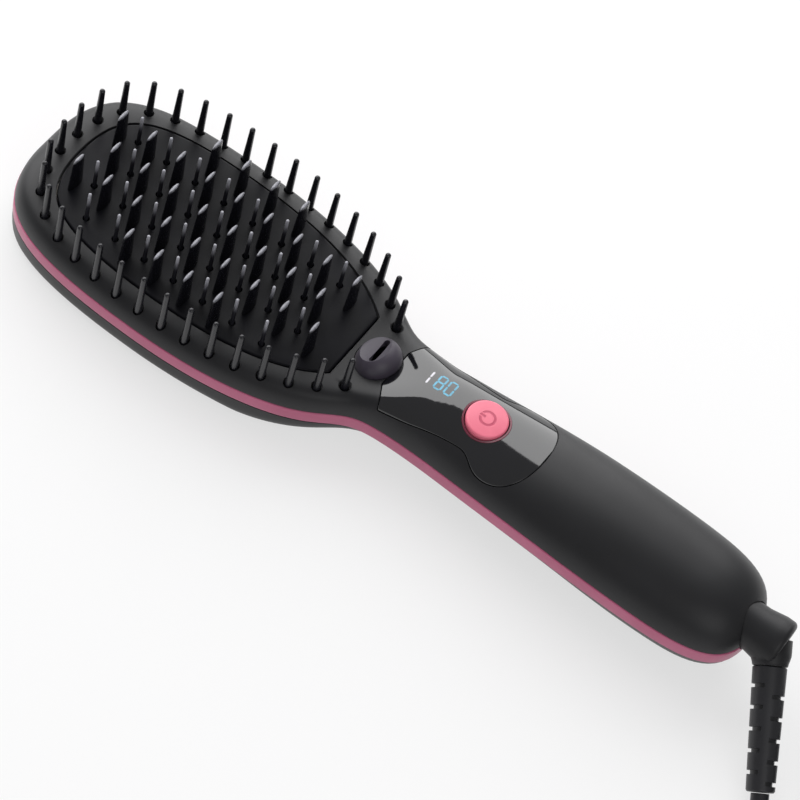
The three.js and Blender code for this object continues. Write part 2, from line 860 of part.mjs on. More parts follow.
function hood(growth, bottom, top) {
  const foot = faceHeight - outletSkirt;
  const rings = outletShares.map((share) => {
    const drawn = (1 - share ** outletCurve) ** (1 / outletCurve);
    const radii = outletRadii.map((radius) => (radius + growth) * drawn);
    return ellipseRing(outletX + share * outletLean, radii, mix([foot, top], share), outletSteps);
  });
  const rootRadii = outletRadii.map((radius) => radius + growth);
  const root = ellipseRing(outletX, rootRadii, bottom, outletSteps);
  return solid(loft([root, ...rings], [outletX, 0, bottom], [outletX + outletLean, 0, top]));
}

const mouth = solid(
  new THREE.BoxGeometry(mouthWidth, mouthLength, mouthDepth)
    .rotateY(-mouthTilt)
    .translate(outletX - mouthSet[0], 0, outletTop - mouthSet[1]),
);
const hoodShape = cut(hood(0, outletRoot, outletTop), [
  hood(-outletWall, outletRoot - spare, outletTop - outletWall),
  mouth,
]);
place("ion_outlet", geometryOf(hoodShape), softTouch);
const needleZ = outletRoot + needleBlock[2] / 2;
const needleBase = block(needleBlock, outletX + needleSet, 0, needleZ);
const needleRod = solid(
  new THREE.ConeGeometry(needleRadius, needleLength, screwSides)
    .rotateX(Math.PI / 2)
    .translate(outletX + needleSet, 0, outletRoot + needleBlock[2] + needleLength / 2 - bite),
);
place("ion_needle", geometryOf(needleBase.add(needleRod)), steel);
const ionFloor = floorAt(ionBoxX + ionBox[0] / 2, ionBox[1] / 2) + seatGap;
place("ion_generator", geometryOf(block(ionBox, ionBoxX, 0, ionFloor + ionBox[2] / 2)), blackNylon);

// Control panel inlay
const panelNose = [panelFrontX, panelNoseY];
const panelCorner = [panelCornerX, panelFrontY];
const panelLine = chain([
  [panelNose, panelNose, panelCorner, panelCorner],
  [
    panelCorner,
    [panelCornerX + panelFrontReach[0], panelFrontY - panelFrontReach[1]],
    [panelWaistX - panelWaistReach[0], panelWaistY],
    [panelWaistX, panelWaistY],
  ],
  [
    [panelWaistX, panelWaistY],
    [panelWaistX + panelWaistReach[1], panelWaistY],
    [panelLobeX - panelLobeReach, panelLobeY],
    [panelLobeX, panelLobeY],
  ],
  [
    [panelLobeX, panelLobeY],
    [panelLobeX + panelLobeReach, panelLobeY],
    [panelEndX, panelWaistY],
    [panelEndX, 0],
  ],
], trimSamples);
const panelOutline = mirrored(panelLine);
const panelGrown = inset(panelLine, -seatGap).map(([x, y], place) => [place ? x : x - seatGap, y]);
const panelRecess = mirrored(panelGrown);
const boardTop = neckHeight - boardDrop;
const cutTop = gripHeight + spare;
const buttonHole = cylinderZ(buttonX, 0, boardTop + spare, cutTop, buttonRadius + slideGap, fineSides);
const panelPrism = prism(panelOutline, seamAt(buttonX), cutTop);
const outletOpening = hood(seatGap, outletRoot - spare, outletTop + seatGap);
const panelBlank = outerBody.subtract(panelCore(panelThick)).intersect(panelPrism);
place("control_panel", geometryOf(cut(panelBlank, [buttonHole, outletOpening])), blackGloss);

// Power button, its switch and the board that carries it
const buttonTop = topAt(buttonX, 0, 0) + buttonRise;
const switchTop = boardTop + seatGap + switchSize[2];
const stemBottom = switchTop + buttonTravel + slideGap;
const buttonProfile = [
  [0, stemBottom],
  [buttonStem, stemBottom],
  [buttonStem, buttonTop - buttonDepth],
  [buttonRadius, buttonTop - buttonDepth],
  [buttonRadius, buttonTop - buttonEdge[3]],
  [buttonRadius - buttonEdge[0], buttonTop - buttonEdge[1]],
  [buttonRadius - buttonEdge[2], buttonTop],
  [0, buttonTop],
];
const buttonShape = lathe(buttonProfile, roundSides).rotateX(Math.PI / 2).translate(buttonX, 0, 0);
place("power_button", buttonShape, pinkGloss);
const boreFloor = boardTop + seatGap + switchBoreFloor;
const switchBody = block(switchSize, buttonX, 0, boardTop + seatGap + switchSize[2] / 2);
const switchHollow = cylinderZ(buttonX, 0, boreFloor, switchTop + spare, switchBore, plainSides);
place("tact_switch", geometryOf(switchBody.subtract(switchHollow)), blackNylon);
const plungerBottom = switchTop - plungerDepth;
const plunger = cylinderZ(buttonX, 0, plungerBottom, stemBottom - seatGap, plungerRadius, smallSides);
place("switch_plunger", geometryOf(plunger), paleNylon);

const boardSlab = block(
  [boardTo - boardFrom, 2 * boardHalfWidth, boardThick],
  (boardFrom + boardTo) / 2,
  0,
  boardTop - boardThick / 2,
);
const boardHoles = boardPostX.map((x) => cylinderZ(x, 0, 0, cutTop, boardScrewRadius + seatGap, boreSides));
place("control_board", geometryOf(cut(boardSlab, boardHoles)), boardGreen);
boardPostX.forEach((x, number) => {
  const headTop = boardTop - boardThick - seatGap;
  const shape = screwUp(x, 0, headTop, boardScrewLength, boardScrewRadius, boardScrewHead);
  place(`board_screw_${number + 1}`, shape, steel);
});
const displayEdge = displayX - displaySize[0] / 2;
const displayTop = topAt(displayEdge, displaySize[1] / 2, panelThick) - seatGap - facetRoom;
const displayBottom = boardTop + seatGap;
const displayBox = [...displaySize, displayTop - displayBottom];
const displayShape = block(displayBox, displayX, 0, (displayTop + displayBottom) / 2);
place("display_module", geometryOf(displayShape), blackNylon);

// Upper housing
const sockets = ringPlaces.map(([x, y]) =>
  cylinderZ(x, y, ringFrameBottom, cutTop, socketRadius, pinSides),
);
const plateOpening = prism(plateOffset(plateGap), plateBottom - spare, cutTop);
const frameRoom = prism(plateOffset(frameLip + seatGap), 0, underPlate + seatGap);
const swivelHeight = gripHeight - swivelDrop;
const panelSeat = prism(panelRecess, seamAt(buttonX), cutTop).subtract(panelCore(panelThick + seatGap));
const windowSize = [displaySize[0] + 2 * seatGap, displaySize[1] + 2 * seatGap, 2 * gripHeight];
const displayWindow = block(windowSize, displayX, 0, displayBottom + gripHeight);
const swivelHole = cylinderX(bushTo, handleEnd + spare, 0, swivelHeight, stubRadius + slideGap, fineSides);
const bushSeat = cylinderX(bushFrom - spare, bushTo + seatGap, 0, swivelHeight, bushRadius + seatGap, roundSides);
const ribX = (bushFrom + bushTo) / 2;
const rib = block([ribThick, 4 * gripHalfWidth, 2 * gripHeight], ribX, 0, gripHeight).intersect(outerBody);
const boardPosts = boardPostX.map((x) => {
  const ceiling = topAt(x, 0, panelThick + seatGap) - facetRoom;
  return cylinderZ(x, 0, boardTop + seatGap, ceiling, boardPostRadius, smallSides);
});
const boardPilots = boardPostX.map((x) => {
  const deepest = boardTop - boardThick - seatGap + boardScrewLength + pilotRoom;
  return cylinderZ(x, 0, boardTop - spare, deepest, boardScrewRadius + seatGap, boreSides);
});
const topBosses = screwX.map((x) =>
  cylinderZ(x, 0, undersideAt(x) + screwFloor + seatGap, topAt(x, 0, wall) + bite, topBossRadius, smallSides),
);
const screwPilots = screwX.map((x) => {
  const deepest = undersideAt(x) + screwHeadSink + screwHeadHeight + screwLength + pilotRoom;
  return cylinderZ(x, 0, 0, deepest, screwRadius + seatGap, smallSides);
});
const upperBlank = shell.add(rib).intersect(upperSlice);
const upperHousing = cut(join([upperBlank, ...topBosses]), [
  ...sockets,
  frameRoom,
  plateOpening,
  outletOpening,
  panelSeat,
]);
const upperFinished = cut(join([upperHousing, ...boardPosts]), [
  buttonHole,
  displayWindow,
  swivelHole,
  bushSeat,
  ...boardPilots,
  ...screwPilots,
]);
place("upper_housing", geometryOf(upperFinished), softTouch);

// Trim band and rear housing
place("trim_band", geometryOf(shell.intersect(bandSlice).subtract(swivelHole)), pinkTrim);
const backBosses = screwX.map((x) =>
  cylinderZ(x, 0, 0, undersideAt(x) + screwFloor, backBossRadius).intersect(outerBody),
);
const headRecesses = screwX.map((x) => {
  const deepest = undersideAt(x) + screwHeadSink + screwHeadHeight + seatGap;
  return cylinderZ(x, 0, -spare, deepest, screwHeadRadius + seatGap);
});
const rearBlank = join([shell.add(rib).intersect(rearSlice), ...backBosses]);
place(
  "rear_housing",
  geometryOf(cut(rearBlank, [...headRecesses, ...screwPilots, bushSeat, swivelHole])),
  softTouch,
);
screwX.forEach((x, number) => {
  const headTop = undersideAt(x) + screwHeadSink + screwHeadHeight;
  const shape = screwUp(x, 0, headTop, screwLength, screwRadius, [screwHeadRadius, screwHeadHeight]);
  place(`housing_screw_${number + 1}`, shape, steel);
});

// Cord swivel: a bush in the handle's end, an elbow that turns in it and the cord's guard
const alongX = (profile, sides) =>
  solid(lathe(profile, sides).rotateZ(-Math.PI / 2).translate(0, 0, swivelHeight));
const bush = alongX(
  [
    [neckInBush + slideGap, bushFrom],
    [bushRadius, bushFrom],
    [bushRadius, bushTo],
    [neckInBush + slideGap, bushTo],
    [neckInBush + slideGap, bushFrom],
  ],
  roundSides,
);
place("swivel_bush", geometryOf(bush), paleNylon);
const flangeTo = bushFrom - slideGap;
const flangeFrom = flangeTo - flangeThick;
const stub = alongX(
  [
    [0, flangeFrom],
    [flangeRadius, flangeFrom],
    [flangeRadius, flangeTo],
    [neckInBush, flangeTo],
    [neckInBush, bushTo + slideGap],
    [stubRadius, bushTo + slideGap],
    [stubRadius, handleEnd],
    [elbowRadius, elbowX],
    [elbowRadius, elbowEnd - elbowCorner],
    [elbowRadius - elbowCorner * elbowCornerShare, elbowEnd - elbowCorner * elbowCornerShare],
    [elbowRadius - elbowCorner, elbowEnd],
    [0, elbowEnd],
  ],
  elbowSides,
);
const elbow = new THREE.Vector3(elbowX, 0, swivelHeight);
const legFall = (swivelHeight - guardEndHeight) / (legLength + seatGap + guardLength);
const ground = new THREE.Vector3(Math.cos(legHeading), Math.sin(legHeading), 0);
const legDirection = ground.clone().multiplyScalar(Math.sqrt(1 - legFall ** 2)).setZ(-legFall);
const onLeg = (distance) => elbow.clone().addScaledVector(legDirection, distance);
const legTurn = new THREE.Quaternion().setFromUnitVectors(new THREE.Vector3(0, 1, 0), legDirection);

// Geometry built upright along y, laid along the leg from a distance behind the elbow's centre
function alongLeg(geometry, distance) {
  return geometry.applyQuaternion(legTurn).translate(...onLeg(distance).toArray());
}

const leg = solid(
  alongLeg(
    lathe(
      [
        [0, 0],
        [legRadius, 0],
        [legRadius, legLength - legCorner],
        [legRadius - legCorner, legLength],
        [0, legLength],
      ],
      plainSides,
    ),
    0,
  ),
);
const beyond = 4 * elbowRadius;
const beyondLeg = solid(
  alongLeg(new THREE.BoxGeometry(beyond, beyond, beyond).translate(0, beyond / 2, 0), legLength),
);
place("swivel_knuckle", geometryOf(stub.add(leg).subtract(beyondLeg)), softTouch);
const contactTo = flangeFrom - slideGap;
place(
  "contact_block",
  geometryOf(cylinderX(contactTo - contactLength, contactTo, 0, swivelHeight, contactRadius, plainSides)),
  brass,
);

const guardBlank = solid(
  alongLeg(
    lathe(
      [
        [0, 0],
        [guardRadius, 0],
        [guardTipRadius, guardLength],
        [0, guardLength],
      ],
      smallSides,
    ),
    legLength + seatGap,
  ),
);
const slotSide = new THREE.Vector3(1, 0, 0).cross(legDirection).cross(legDirection).normalize();
const slotTurn = new THREE.Quaternion().setFromRotationMatrix(
  new THREE.Matrix4().makeBasis(slotSide, legDirection, slotSide.clone().cross(legDirection)),
);

function guardSlot(side, number) {
  const shift = side > 0 ? 0 : guardSlotPitch / 2;
  const distance = legLength + seatGap + guardSlotStart + shift + number * guardSlotPitch;
  const centre = onLeg(distance + guardSlotWidth / 2);
  centre.addScaledVector(slotSide, side * (guardSpine + guardRadius));
  return solid(
    new THREE.BoxGeometry(2 * guardRadius, guardSlotWidth, 3 * guardRadius)
      .applyQuaternion(slotTurn)
      .translate(...centre.toArray()),
  );
}

const slots = [1, -1].flatMap((side) =>
  Array.from({ length: guardSlots }, (_, number) => guardSlot(side, number)),
);
place("cord_guard", geometryOf(cut(guardBlank, slots)), darkRubber, cordage);

// Cord: out of the guard, down to the table, round a bend and into the coil
const guardEnd = onLeg(legLength + seatGap + guardLength);
const cordFrom = guardEnd.clone().addScaledVector(legDirection, seatGap);
const onTable = (point) => point.clone().setZ(coilHeight);
const leftOf = (angle) => new THREE.Vector3(-Math.sin(angle), Math.cos(angle), 0);
const bendStart = onTable(guardEnd).addScaledVector(ground, cordLanding[1]);
const bendCentre = bendStart.clone().addScaledVector(leftOf(legHeading), bendRadius);
const bend = Array.from({ length: bendSteps + 1 }, (_, step) => {
  const angle = mix([legHeading, storeHeading], step / bendSteps);
  return bendCentre.clone().addScaledVector(leftOf(angle), -bendRadius);
});
const store = new THREE.Vector3(Math.cos(storeHeading), Math.sin(storeHeading), 0);
const beside = leftOf(storeHeading);
const runAt = (distance) => bend.at(-1).clone().addScaledVector(store, distance);
const coilOuter = coilInner + coilPitch * coilTurns;
const coilCentre = runAt(cordRun).addScaledVector(beside, coilOuter);
const freeRoute = [
  cordFrom,
  cordFrom.clone().addScaledVector(legDirection, cordRadius),
  onTable(guardEnd).addScaledVector(ground, cordLanding[0]).setZ(coilHeight + cordNear),
  ...bend,
  runAt(cordRun / 3),
  runAt((cordRun * 2) / 3),
  runAt(cordRun - coilLead - seatGap),
];

function circleShape(radius, sides) {
  const shape = new THREE.Shape();
  for (let step = 0; step < sides; step++) {
    const turn = (2 * Math.PI * step) / sides;
    const point = [radius * Math.cos(turn), radius * Math.sin(turn)];
    if (step) shape.lineTo(...point);
    else shape.moveTo(...point);
  }
  return shape;
}

function tube(points, steps) {
  const path = new THREE.CatmullRomCurve3(points, false, "centripetal");
  return new THREE.ExtrudeGeometry(circleShape(cordRadius, cordSides), {
    steps,
    extrudePath: path,
    bevelEnabled: false,
  });
}

place("cord", tube(freeRoute, freeRoute.length + bendSteps), darkRubber, cordage);

// Coil: two layers that spiral in and out again, climbing where the spiral turns back
const startTurn = Math.atan2(-beside.y, -beside.x);

function coilPoint(turn) {
  const reach = turn - coilTurns;
  const radius = coilInner + coilPitch * (Math.hypot(reach, coilTurnback) - coilTurnback);
  const angle = startTurn + 2 * Math.PI * turn;
  const height = coilHeight + coilRise * smooth(-coilClimb, coilClimb, reach);
  return new THREE.Vector3(
    coilCentre.x + radius * Math.cos(angle),
    coilCentre.y + radius * Math.sin(angle),
    height,
  );
}

function sectionRing(centre, direction, radius, sides) {
  const level = new THREE.Vector3(0, 0, 1).cross(direction).normalize();
  const upright = direction.clone().cross(level);
  return Array.from({ length: sides }, (_, step) => {
    const turn = (2 * Math.PI * step) / sides;
    const point = centre.clone();
    point.addScaledVector(level, radius * Math.cos(turn));
    point.addScaledVector(upright, radius * Math.sin(turn));
    return point.toArray();
  });
}

const coilCount = 2 * coilTurns * coilSteps;
const coilCentres = Array.from({ length: coilCount + 1 }, (_, step) => coilPoint(step / coilSteps));
const nearby = 0.1 / coilSteps;
const heading = (turn) => coilPoint(turn + nearby).sub(coilPoint(turn - nearby)).normalize();
const coilHeadings = coilCentres.map((_, step) => heading(step / coilSteps));
const leadIn = coilCentres[0].clone().addScaledVector(store, -coilLead);
const coilEndHeading = coilHeadings.at(-1).clone().setZ(0).normalize();
const leadOut = coilCentres.at(-1).clone().addScaledVector(coilEndHeading, coilLead);
const coilRings = [
  sectionRing(leadIn, store, cordRadius, coilSides),
  ...coilCentres.map((centre, step) => sectionRing(centre, coilHeadings[step], cordRadius, coilSides)),
  sectionRing(leadOut, coilEndHeading, cordRadius, coilSides),
];
place("cord_coil", loft(coilRings, leadIn.toArray(), leadOut.toArray()), darkRubber, cordage);

// Least gap between turns, measured between the points of one turn and the centre line of the others
let leastGap = Infinity;
coilCentres.forEach((point, step) => {
  for (let other = step + coilSteps / 2; other + 1 < coilCentres.length; other++) {
    const line = new THREE.Line3(coilCentres[other], coilCentres[other + 1]);
    const nearest = line.closestPointToPoint(point, true, new THREE.Vector3());
    leastGap = Math.min(leastGap, nearest.distanceTo(point) - 2 * cordRadius);
  }
});
console.log(`least gap between turns of the coil: ${leastGap.toFixed(2)} mm`);

// Tie round the bundle on the coil's far side
const bundleInner = coilInner - cordRadius - seatGap;
const bundleOuter = coilOuter + cordRadius + seatGap;
const bundleBottom = coilHeight - cordRadius - seatGap;
const bundleTop = coilHeight + coilRise + cordRadius + seatGap;

function tieLoop(margin, width) {
  return new THREE.BoxGeometry(
    bundleOuter - bundleInner + 2 * margin,
    width,
    bundleTop - bundleBottom + 2 * margin,
  ).translate((bundleInner + bundleOuter) / 2, 0, (bundleTop + bundleBottom) / 2);
}

const tieShape = solid(tieLoop(tieThick, tieWidth)).subtract(solid(tieLoop(0, 2 * tieWidth)));
place(
  "coil_tie",
  geometryOf(tieShape).rotateZ(storeHeading).translate(coilCentre.x, coilCentre.y, 0),
  darkRubber,
  cordage,
);

// Tail of the cord and the plug beside the coil
const tailFrom = leadOut.clone().addScaledVector(coilEndHeading, seatGap);
const tailAt = (distance) => tailFrom.clone().addScaledVector(coilEndHeading, distance);
const tailRoute = tailShares.map((share, place) =>
  tailAt(tailLength * share).setZ(mix([tailFrom.z, plugHeight], tailFall[place])),
);
place("cord_tail", tube(tailRoute, tailShares.length), darkRubber, cordage);

const plugFrame = new THREE.Group();
plugFrame.position.copy(tailAt(tailLength + seatGap).setZ(plugHeight));
plugFrame.rotation.z = Math.atan2(coilEndHeading.y, coilEndHeading.x);
cordage.add(plugFrame);

function plugRing([distance, halfWidth, halfHeight]) {
  return Array.from({ length: plainSides }, (_, step) => {
    const turn = (2 * Math.PI * step) / plainSides;
    const y = halfWidth * power(Math.cos(turn), plugSquareness);
    return [distance, y, halfHeight * power(Math.sin(turn), plugSquareness)];
  });
}

const plugEnd = plugNeck + plugBody[0];
const plugHalf = [plugBody[1] / 2, plugBody[2] / 2];
const slimmer = (across, upright) => [plugHalf[0] - across, plugHalf[1] - upright];
const plugSections = [
  [0, plugNeckRadius, plugNeckRadius],
  [plugNeck, ...plugNeckEnd],
  [plugNeck + plugShoulder[0], ...slimmer(plugShoulder[1], plugShoulder[2])],
  [plugNeck + plugFull, ...plugHalf],
  [plugEnd - plugTaper[0], ...slimmer(plugTaper[1], plugTaper[2])],
  [plugEnd, ...slimmer(...plugFace)],
];
const plugRings = plugSections.map(plugRing);
place("plug_body", loft(plugRings, [0, 0, 0], [plugEnd, 0, 0]), darkRubber, plugFrame);
[1, -1].forEach((side, number) => {
  const pin = lathe(
    [
      [0, 0],
      [plugPinRadius, 0],
      [plugPinRadius, plugPinLength - plugPinTip[0]],
      [plugPinRadius - plugPinTip[1], plugPinLength],
      [0, plugPinLength],
    ],
    smallSides,
  );
  pin.rotateZ(-Math.PI / 2).translate(plugEnd + seatGap, (side * plugPinSpacing) / 2, 0);
  place(`plug_pin_${number + 1}`, pin, steel, plugFrame);
});

// The whole product, with its origin under the middle of the brush
const brush = new THREE.Group();
brush.add(assembly, cordage);
const extent = new THREE.Box3().setFromObject(assembly);
const middle = extent.getCenter(new THREE.Vector3());
brush.position.set(-middle.x, -middle.y, -extent.min.z);

export default brush;
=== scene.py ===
"""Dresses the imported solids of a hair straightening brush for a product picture.

Lengths in the classes are millimetres in the maker's own layout, where x runs from
the middle of the head to the end of the handle. Layout.point() turns them into metres
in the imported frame, so every mesh is built where its solid lies.
"""

from __future__ import annotations

import logging
import math
from bisect import bisect_left
from collections.abc import Callable, Iterable, Sequence
from dataclasses import dataclass, field
from enum import Enum

import bmesh
import bpy
from mathutils import Matrix, Vector

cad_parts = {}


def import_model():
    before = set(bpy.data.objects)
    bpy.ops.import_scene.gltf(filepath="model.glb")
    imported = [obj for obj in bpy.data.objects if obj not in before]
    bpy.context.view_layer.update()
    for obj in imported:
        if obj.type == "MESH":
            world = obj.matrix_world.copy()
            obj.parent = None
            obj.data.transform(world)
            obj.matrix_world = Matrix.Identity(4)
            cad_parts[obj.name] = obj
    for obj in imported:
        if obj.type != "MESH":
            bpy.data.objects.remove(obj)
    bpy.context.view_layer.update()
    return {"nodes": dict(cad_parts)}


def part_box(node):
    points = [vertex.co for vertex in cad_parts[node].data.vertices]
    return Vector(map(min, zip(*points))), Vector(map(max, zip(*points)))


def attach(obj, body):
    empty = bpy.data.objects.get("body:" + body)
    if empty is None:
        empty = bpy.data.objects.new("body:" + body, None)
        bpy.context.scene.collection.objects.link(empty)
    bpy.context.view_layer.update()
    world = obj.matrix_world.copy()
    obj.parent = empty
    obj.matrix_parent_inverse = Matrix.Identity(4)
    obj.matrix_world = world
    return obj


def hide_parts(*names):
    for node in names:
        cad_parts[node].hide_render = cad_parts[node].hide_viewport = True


LOG = logging.getLogger("straightening_brush")
MM = 0.001
Pair = tuple[float, float]
Point = tuple[float, float, float]
Colour = tuple[float, float, float]


# Node trees as expressions


def operator_of(operation: str, reflected: bool = False) -> Callable[[Value, object], Value]:
    """Return a method that adds one Math node.

    Args:
        operation: what the node does.
        reflected: whether the other operand comes first.

    Returns:
        The method.
    """

    def method(value: Value, other: object) -> Value:
        """Return the socket of the new Math node."""
        pair = (other, value) if reflected else (value, other)
        return value.worked(operation, *pair)

    return method


@dataclass(frozen=True)
class Value:
    """One socket of a node tree, which takes part in arithmetic."""

    tree: Tree
    socket: bpy.types.NodeSocket

    __add__ = operator_of("ADD")
    __radd__ = operator_of("ADD", reflected=True)
    __sub__ = operator_of("SUBTRACT")
    __rsub__ = operator_of("SUBTRACT", reflected=True)
    __mul__ = operator_of("MULTIPLY")
    __rmul__ = operator_of("MULTIPLY", reflected=True)
    __truediv__ = operator_of("DIVIDE")
    __pow__ = operator_of("POWER")
    most = operator_of("MAXIMUM")

    def worked(self, operation: str, *operands: object) -> Value:
        """Return the socket of a new Math node."""
        return self.tree.node("ShaderNodeMath", {"operation": operation}, operands)

    def size(self) -> Value:
        """Return the value without its sign."""
        return self.worked("ABSOLUTE", self)

    def sine(self) -> Value:
        """Return the sine of the value in radians."""
        return self.worked("SINE", self)

    def cosine(self) -> Value:
        """Return the cosine of the value in radians."""
        return self.worked("COSINE", self)

    def within(self) -> Value:
        """Return the value held between 0 and 1."""
        settings = {"operation": "ADD", "use_clamp": True}
        return self.tree.node("ShaderNodeMath", settings, (self, 0.0))

    def step(self, low: float, high: float) -> Value:
        """Return a smooth step from 0 at low to 1 at high.

        Args:
            low: value that gives 0.
            high: value that gives 1.

        Returns:
            The stepped value.
        """
        settings = {"interpolation_type": "SMOOTHSTEP"}
        return self.tree.node("ShaderNodeMapRange", settings, {0: self, 1: low, 2: high})


class Tree:
    """A node tree that is built by expressions."""

    def __init__(self, tree: bpy.types.NodeTree) -> None:
        """Take over a node tree.

        Args:
            tree: the tree to build in.
        """
        self.nodes = tree.nodes
        self.links = tree.links

    def connect(self, socket: bpy.types.NodeSocket, value: object) -> None:
        """Give an input socket a link or a constant."""
        if isinstance(value, Value):
            self.links.new(value.socket, socket)
        elif isinstance(value, tuple) and len(value) == 3 and socket.type == "RGBA":
            socket.default_value = (*value, 1.0)
        else:
            socket.default_value = value

    def node(
        self,
        kind: str,
        settings: dict[str, object] | None = None,
        inputs: dict[object, object] | Sequence[object] = (),
        output: int | str = 0,
    ) -> Value:
        """Add a node and return one of its outputs.

        Args:
            kind: type of the node.
            settings: properties, set before the sockets.
            inputs: values or links, by place or by socket.
            output: the socket to return.

        Returns:
            The chosen output as a Value.
        """
        made = self.nodes.new(kind)
        for name, setting in (settings or {}).items():
            setattr(made, name, setting)
        pairs = inputs.items() if isinstance(inputs, dict) else enumerate(inputs)
        for key, value in pairs:
            self.connect(made.inputs[key], value)
        return Value(self, made.outputs[output])

    def parts(self, vector: Value) -> tuple[Value, Value, Value]:
        """Return the x, y and z of a vector."""
        split = self.node("ShaderNodeSeparateXYZ", None, (vector,)).socket.node.outputs
        return Value(self, split[0]), Value(self, split[1]), Value(self, split[2])

    def vector(self, x: object, y: object, z: object) -> Value:
        """Return a vector of three values."""
        return self.node("ShaderNodeCombineXYZ", None, (x, y, z))


class Shader(Tree):
    """A material with one Principled shader."""

    def __init__(self, name: str) -> None:
        """Make an empty material.

        Args:
            name: name of the material.
        """
        self.material = bpy.data.materials.new(name)
        self.material.use_nodes = True
        super().__init__(self.material.node_tree)
        self.surface = self.nodes["Principled BSDF"]

    def place(self) -> Value:
        """Return the point on the object, in metres."""
        return self.node("ShaderNodeTexCoord", output="Object")

    def noise(self, grain: float, detail: float = 3.0, stretch: Point = (1, 1, 1)) -> Value:
        """Return noise between 0 and 1 whose spots are about one grain wide.

        Args:
            grain: size of a spot in metres.
            detail: octaves.
            stretch: how many times longer the spots are along each axis.

        Returns:
            The noise value.
        """
        scale = tuple(1 / (grain * share) for share in stretch)
        spot = self.node("ShaderNodeMapping", {"vector_type": "POINT"}, {0: self.place(), 3: scale})
        return self.node("ShaderNodeTexNoise", None, {"Vector": spot, "Scale": 1.0, "Detail": detail})

    def blend(self, share: Value, first: object, second: object) -> Value:
        """Return a colour between two colours."""
        settings = {"data_type": "RGBA", "blend_type": "MIX"}
        return self.node("ShaderNodeMix", settings, {0: share, 6: first, 7: second}, output=2)

    def bump(self, height: Value, depth: float, under: Value | None = None) -> Value:
        """Return the normal of a surface raised by height times depth metres."""
        inputs: dict[object, object] = {"Strength": 1.0, "Distance": depth, "Height": height}
        if under:
            inputs["Normal"] = under
        return self.node("ShaderNodeBump", None, inputs)

    def set(self, **inputs: object) -> Shader:
        """Set the sockets of the Principled shader, named with _ for a space."""
        for name, value in inputs.items():
            socket = name.replace("_", " ").title().replace("Ior", "IOR")
            self.connect(self.surface.inputs[socket], value)
        return self


class Recipe(Tree):
    """A geometry tree with named inputs that ends in real geometry of one finish."""

    def __init__(self, name: str) -> None:
        """Make an empty tree.

        Args:
            name: name of the tree, and of the piece that it makes.
        """
        self.name = name
        self.group = bpy.data.node_groups.new(name, "GeometryNodeTree")
        super().__init__(self.group)
        self.group.interface.new_socket("Geometry", in_out="INPUT", socket_type="NodeSocketGeometry")
        self.group.interface.new_socket("Geometry", in_out="OUTPUT", socket_type="NodeSocketGeometry")
        self.entry = self.nodes.new("NodeGroupInput")
        self.exit = self.nodes.new("NodeGroupOutput")
        self.sizes: dict[str, object] = {}

    def carrier(self) -> Value:
        """Return the geometry that the recipe is laid over."""
        return Value(self, self.entry.outputs[0])

    def size(self, name: str, value: float | int) -> Value:
        """Add a named input.

        Args:
            name: what the size is.
            value: its value, in metres where it is a length.

        Returns:
            The input as a Value.
        """
        kind = "NodeSocketInt" if isinstance(value, int) else "NodeSocketFloat"
        made = self.group.interface.new_socket(name, in_out="INPUT", socket_type=kind)
        self.sizes[made.identifier] = value
        return Value(self, self.entry.outputs[name])

    def turned(self, sides: Value, rows: int) -> tuple[Value, Value, Value, Value]:
        """Start a turned form.

        Args:
            sides: flats round it.
            rows: rows of faces from its foot to its tip.

        Returns:
            The form, the x and y of its points on a circle of radius 1, and their share of its height.
        """
        inputs = {"Vertices": sides, "Side Segments": rows, "Radius": 1.0, "Depth": 1.0}
        form = self.node("GeometryNodeMeshCylinder", {"fill_type": "NGON"}, inputs)
        x, y, z = self.parts(self.node("GeometryNodeInputPosition"))
        return form, x, y, z + 0.5

    def shaped(self, form: Value, x: Value, y: Value, z: Value) -> Value:
        """Return a form with its points moved to x, y, z and its faces shaded smooth."""
        inputs = {"Geometry": form, "Position": self.vector(x, y, z)}
        moved = self.node("GeometryNodeSetPosition", None, inputs)
        return self.node("GeometryNodeSetShadeSmooth", None, (moved,))

    def repeat(self, form: Value) -> Value:
        """Return the form set on every point of the carrier."""
        return self.node("GeometryNodeInstanceOnPoints", None, {"Points": self.carrier(), "Instance": form})

    def finish(self, geometry: Value, material: bpy.types.Material) -> None:
        """End the tree in real geometry of one material."""
        real = self.node("GeometryNodeRealizeInstances", None, (geometry,))
        dressed = self.node("GeometryNodeSetMaterial", None, {"Geometry": real, "Material": material})
        self.connect(self.exit.inputs[0], dressed)

    def lay(self, carrier: bpy.types.Object) -> bpy.types.Object:
        """Run the recipe over a carrier, which it uses up.

        Args:
            carrier: object with the points or lines that the recipe follows.

        Returns:
            The result as a plain mesh object.
        """
        modifier = carrier.modifiers.new(self.name, "NODES")
        modifier.node_group = self.group
        for identifier, value in self.sizes.items():
            modifier[identifier] = value
        return settled(carrier, self.name)


def srgb(code: int) -> Colour:
    """Return the linear colour of a hexadecimal screen colour."""
    shares = [((code >> shift) & 255) / 255 for shift in (16, 8, 0)]
    return tuple(s / 12.92 if s <= 0.04045 else ((s + 0.055) / 1.055) ** 2.4 for s in shares)


# Finishes


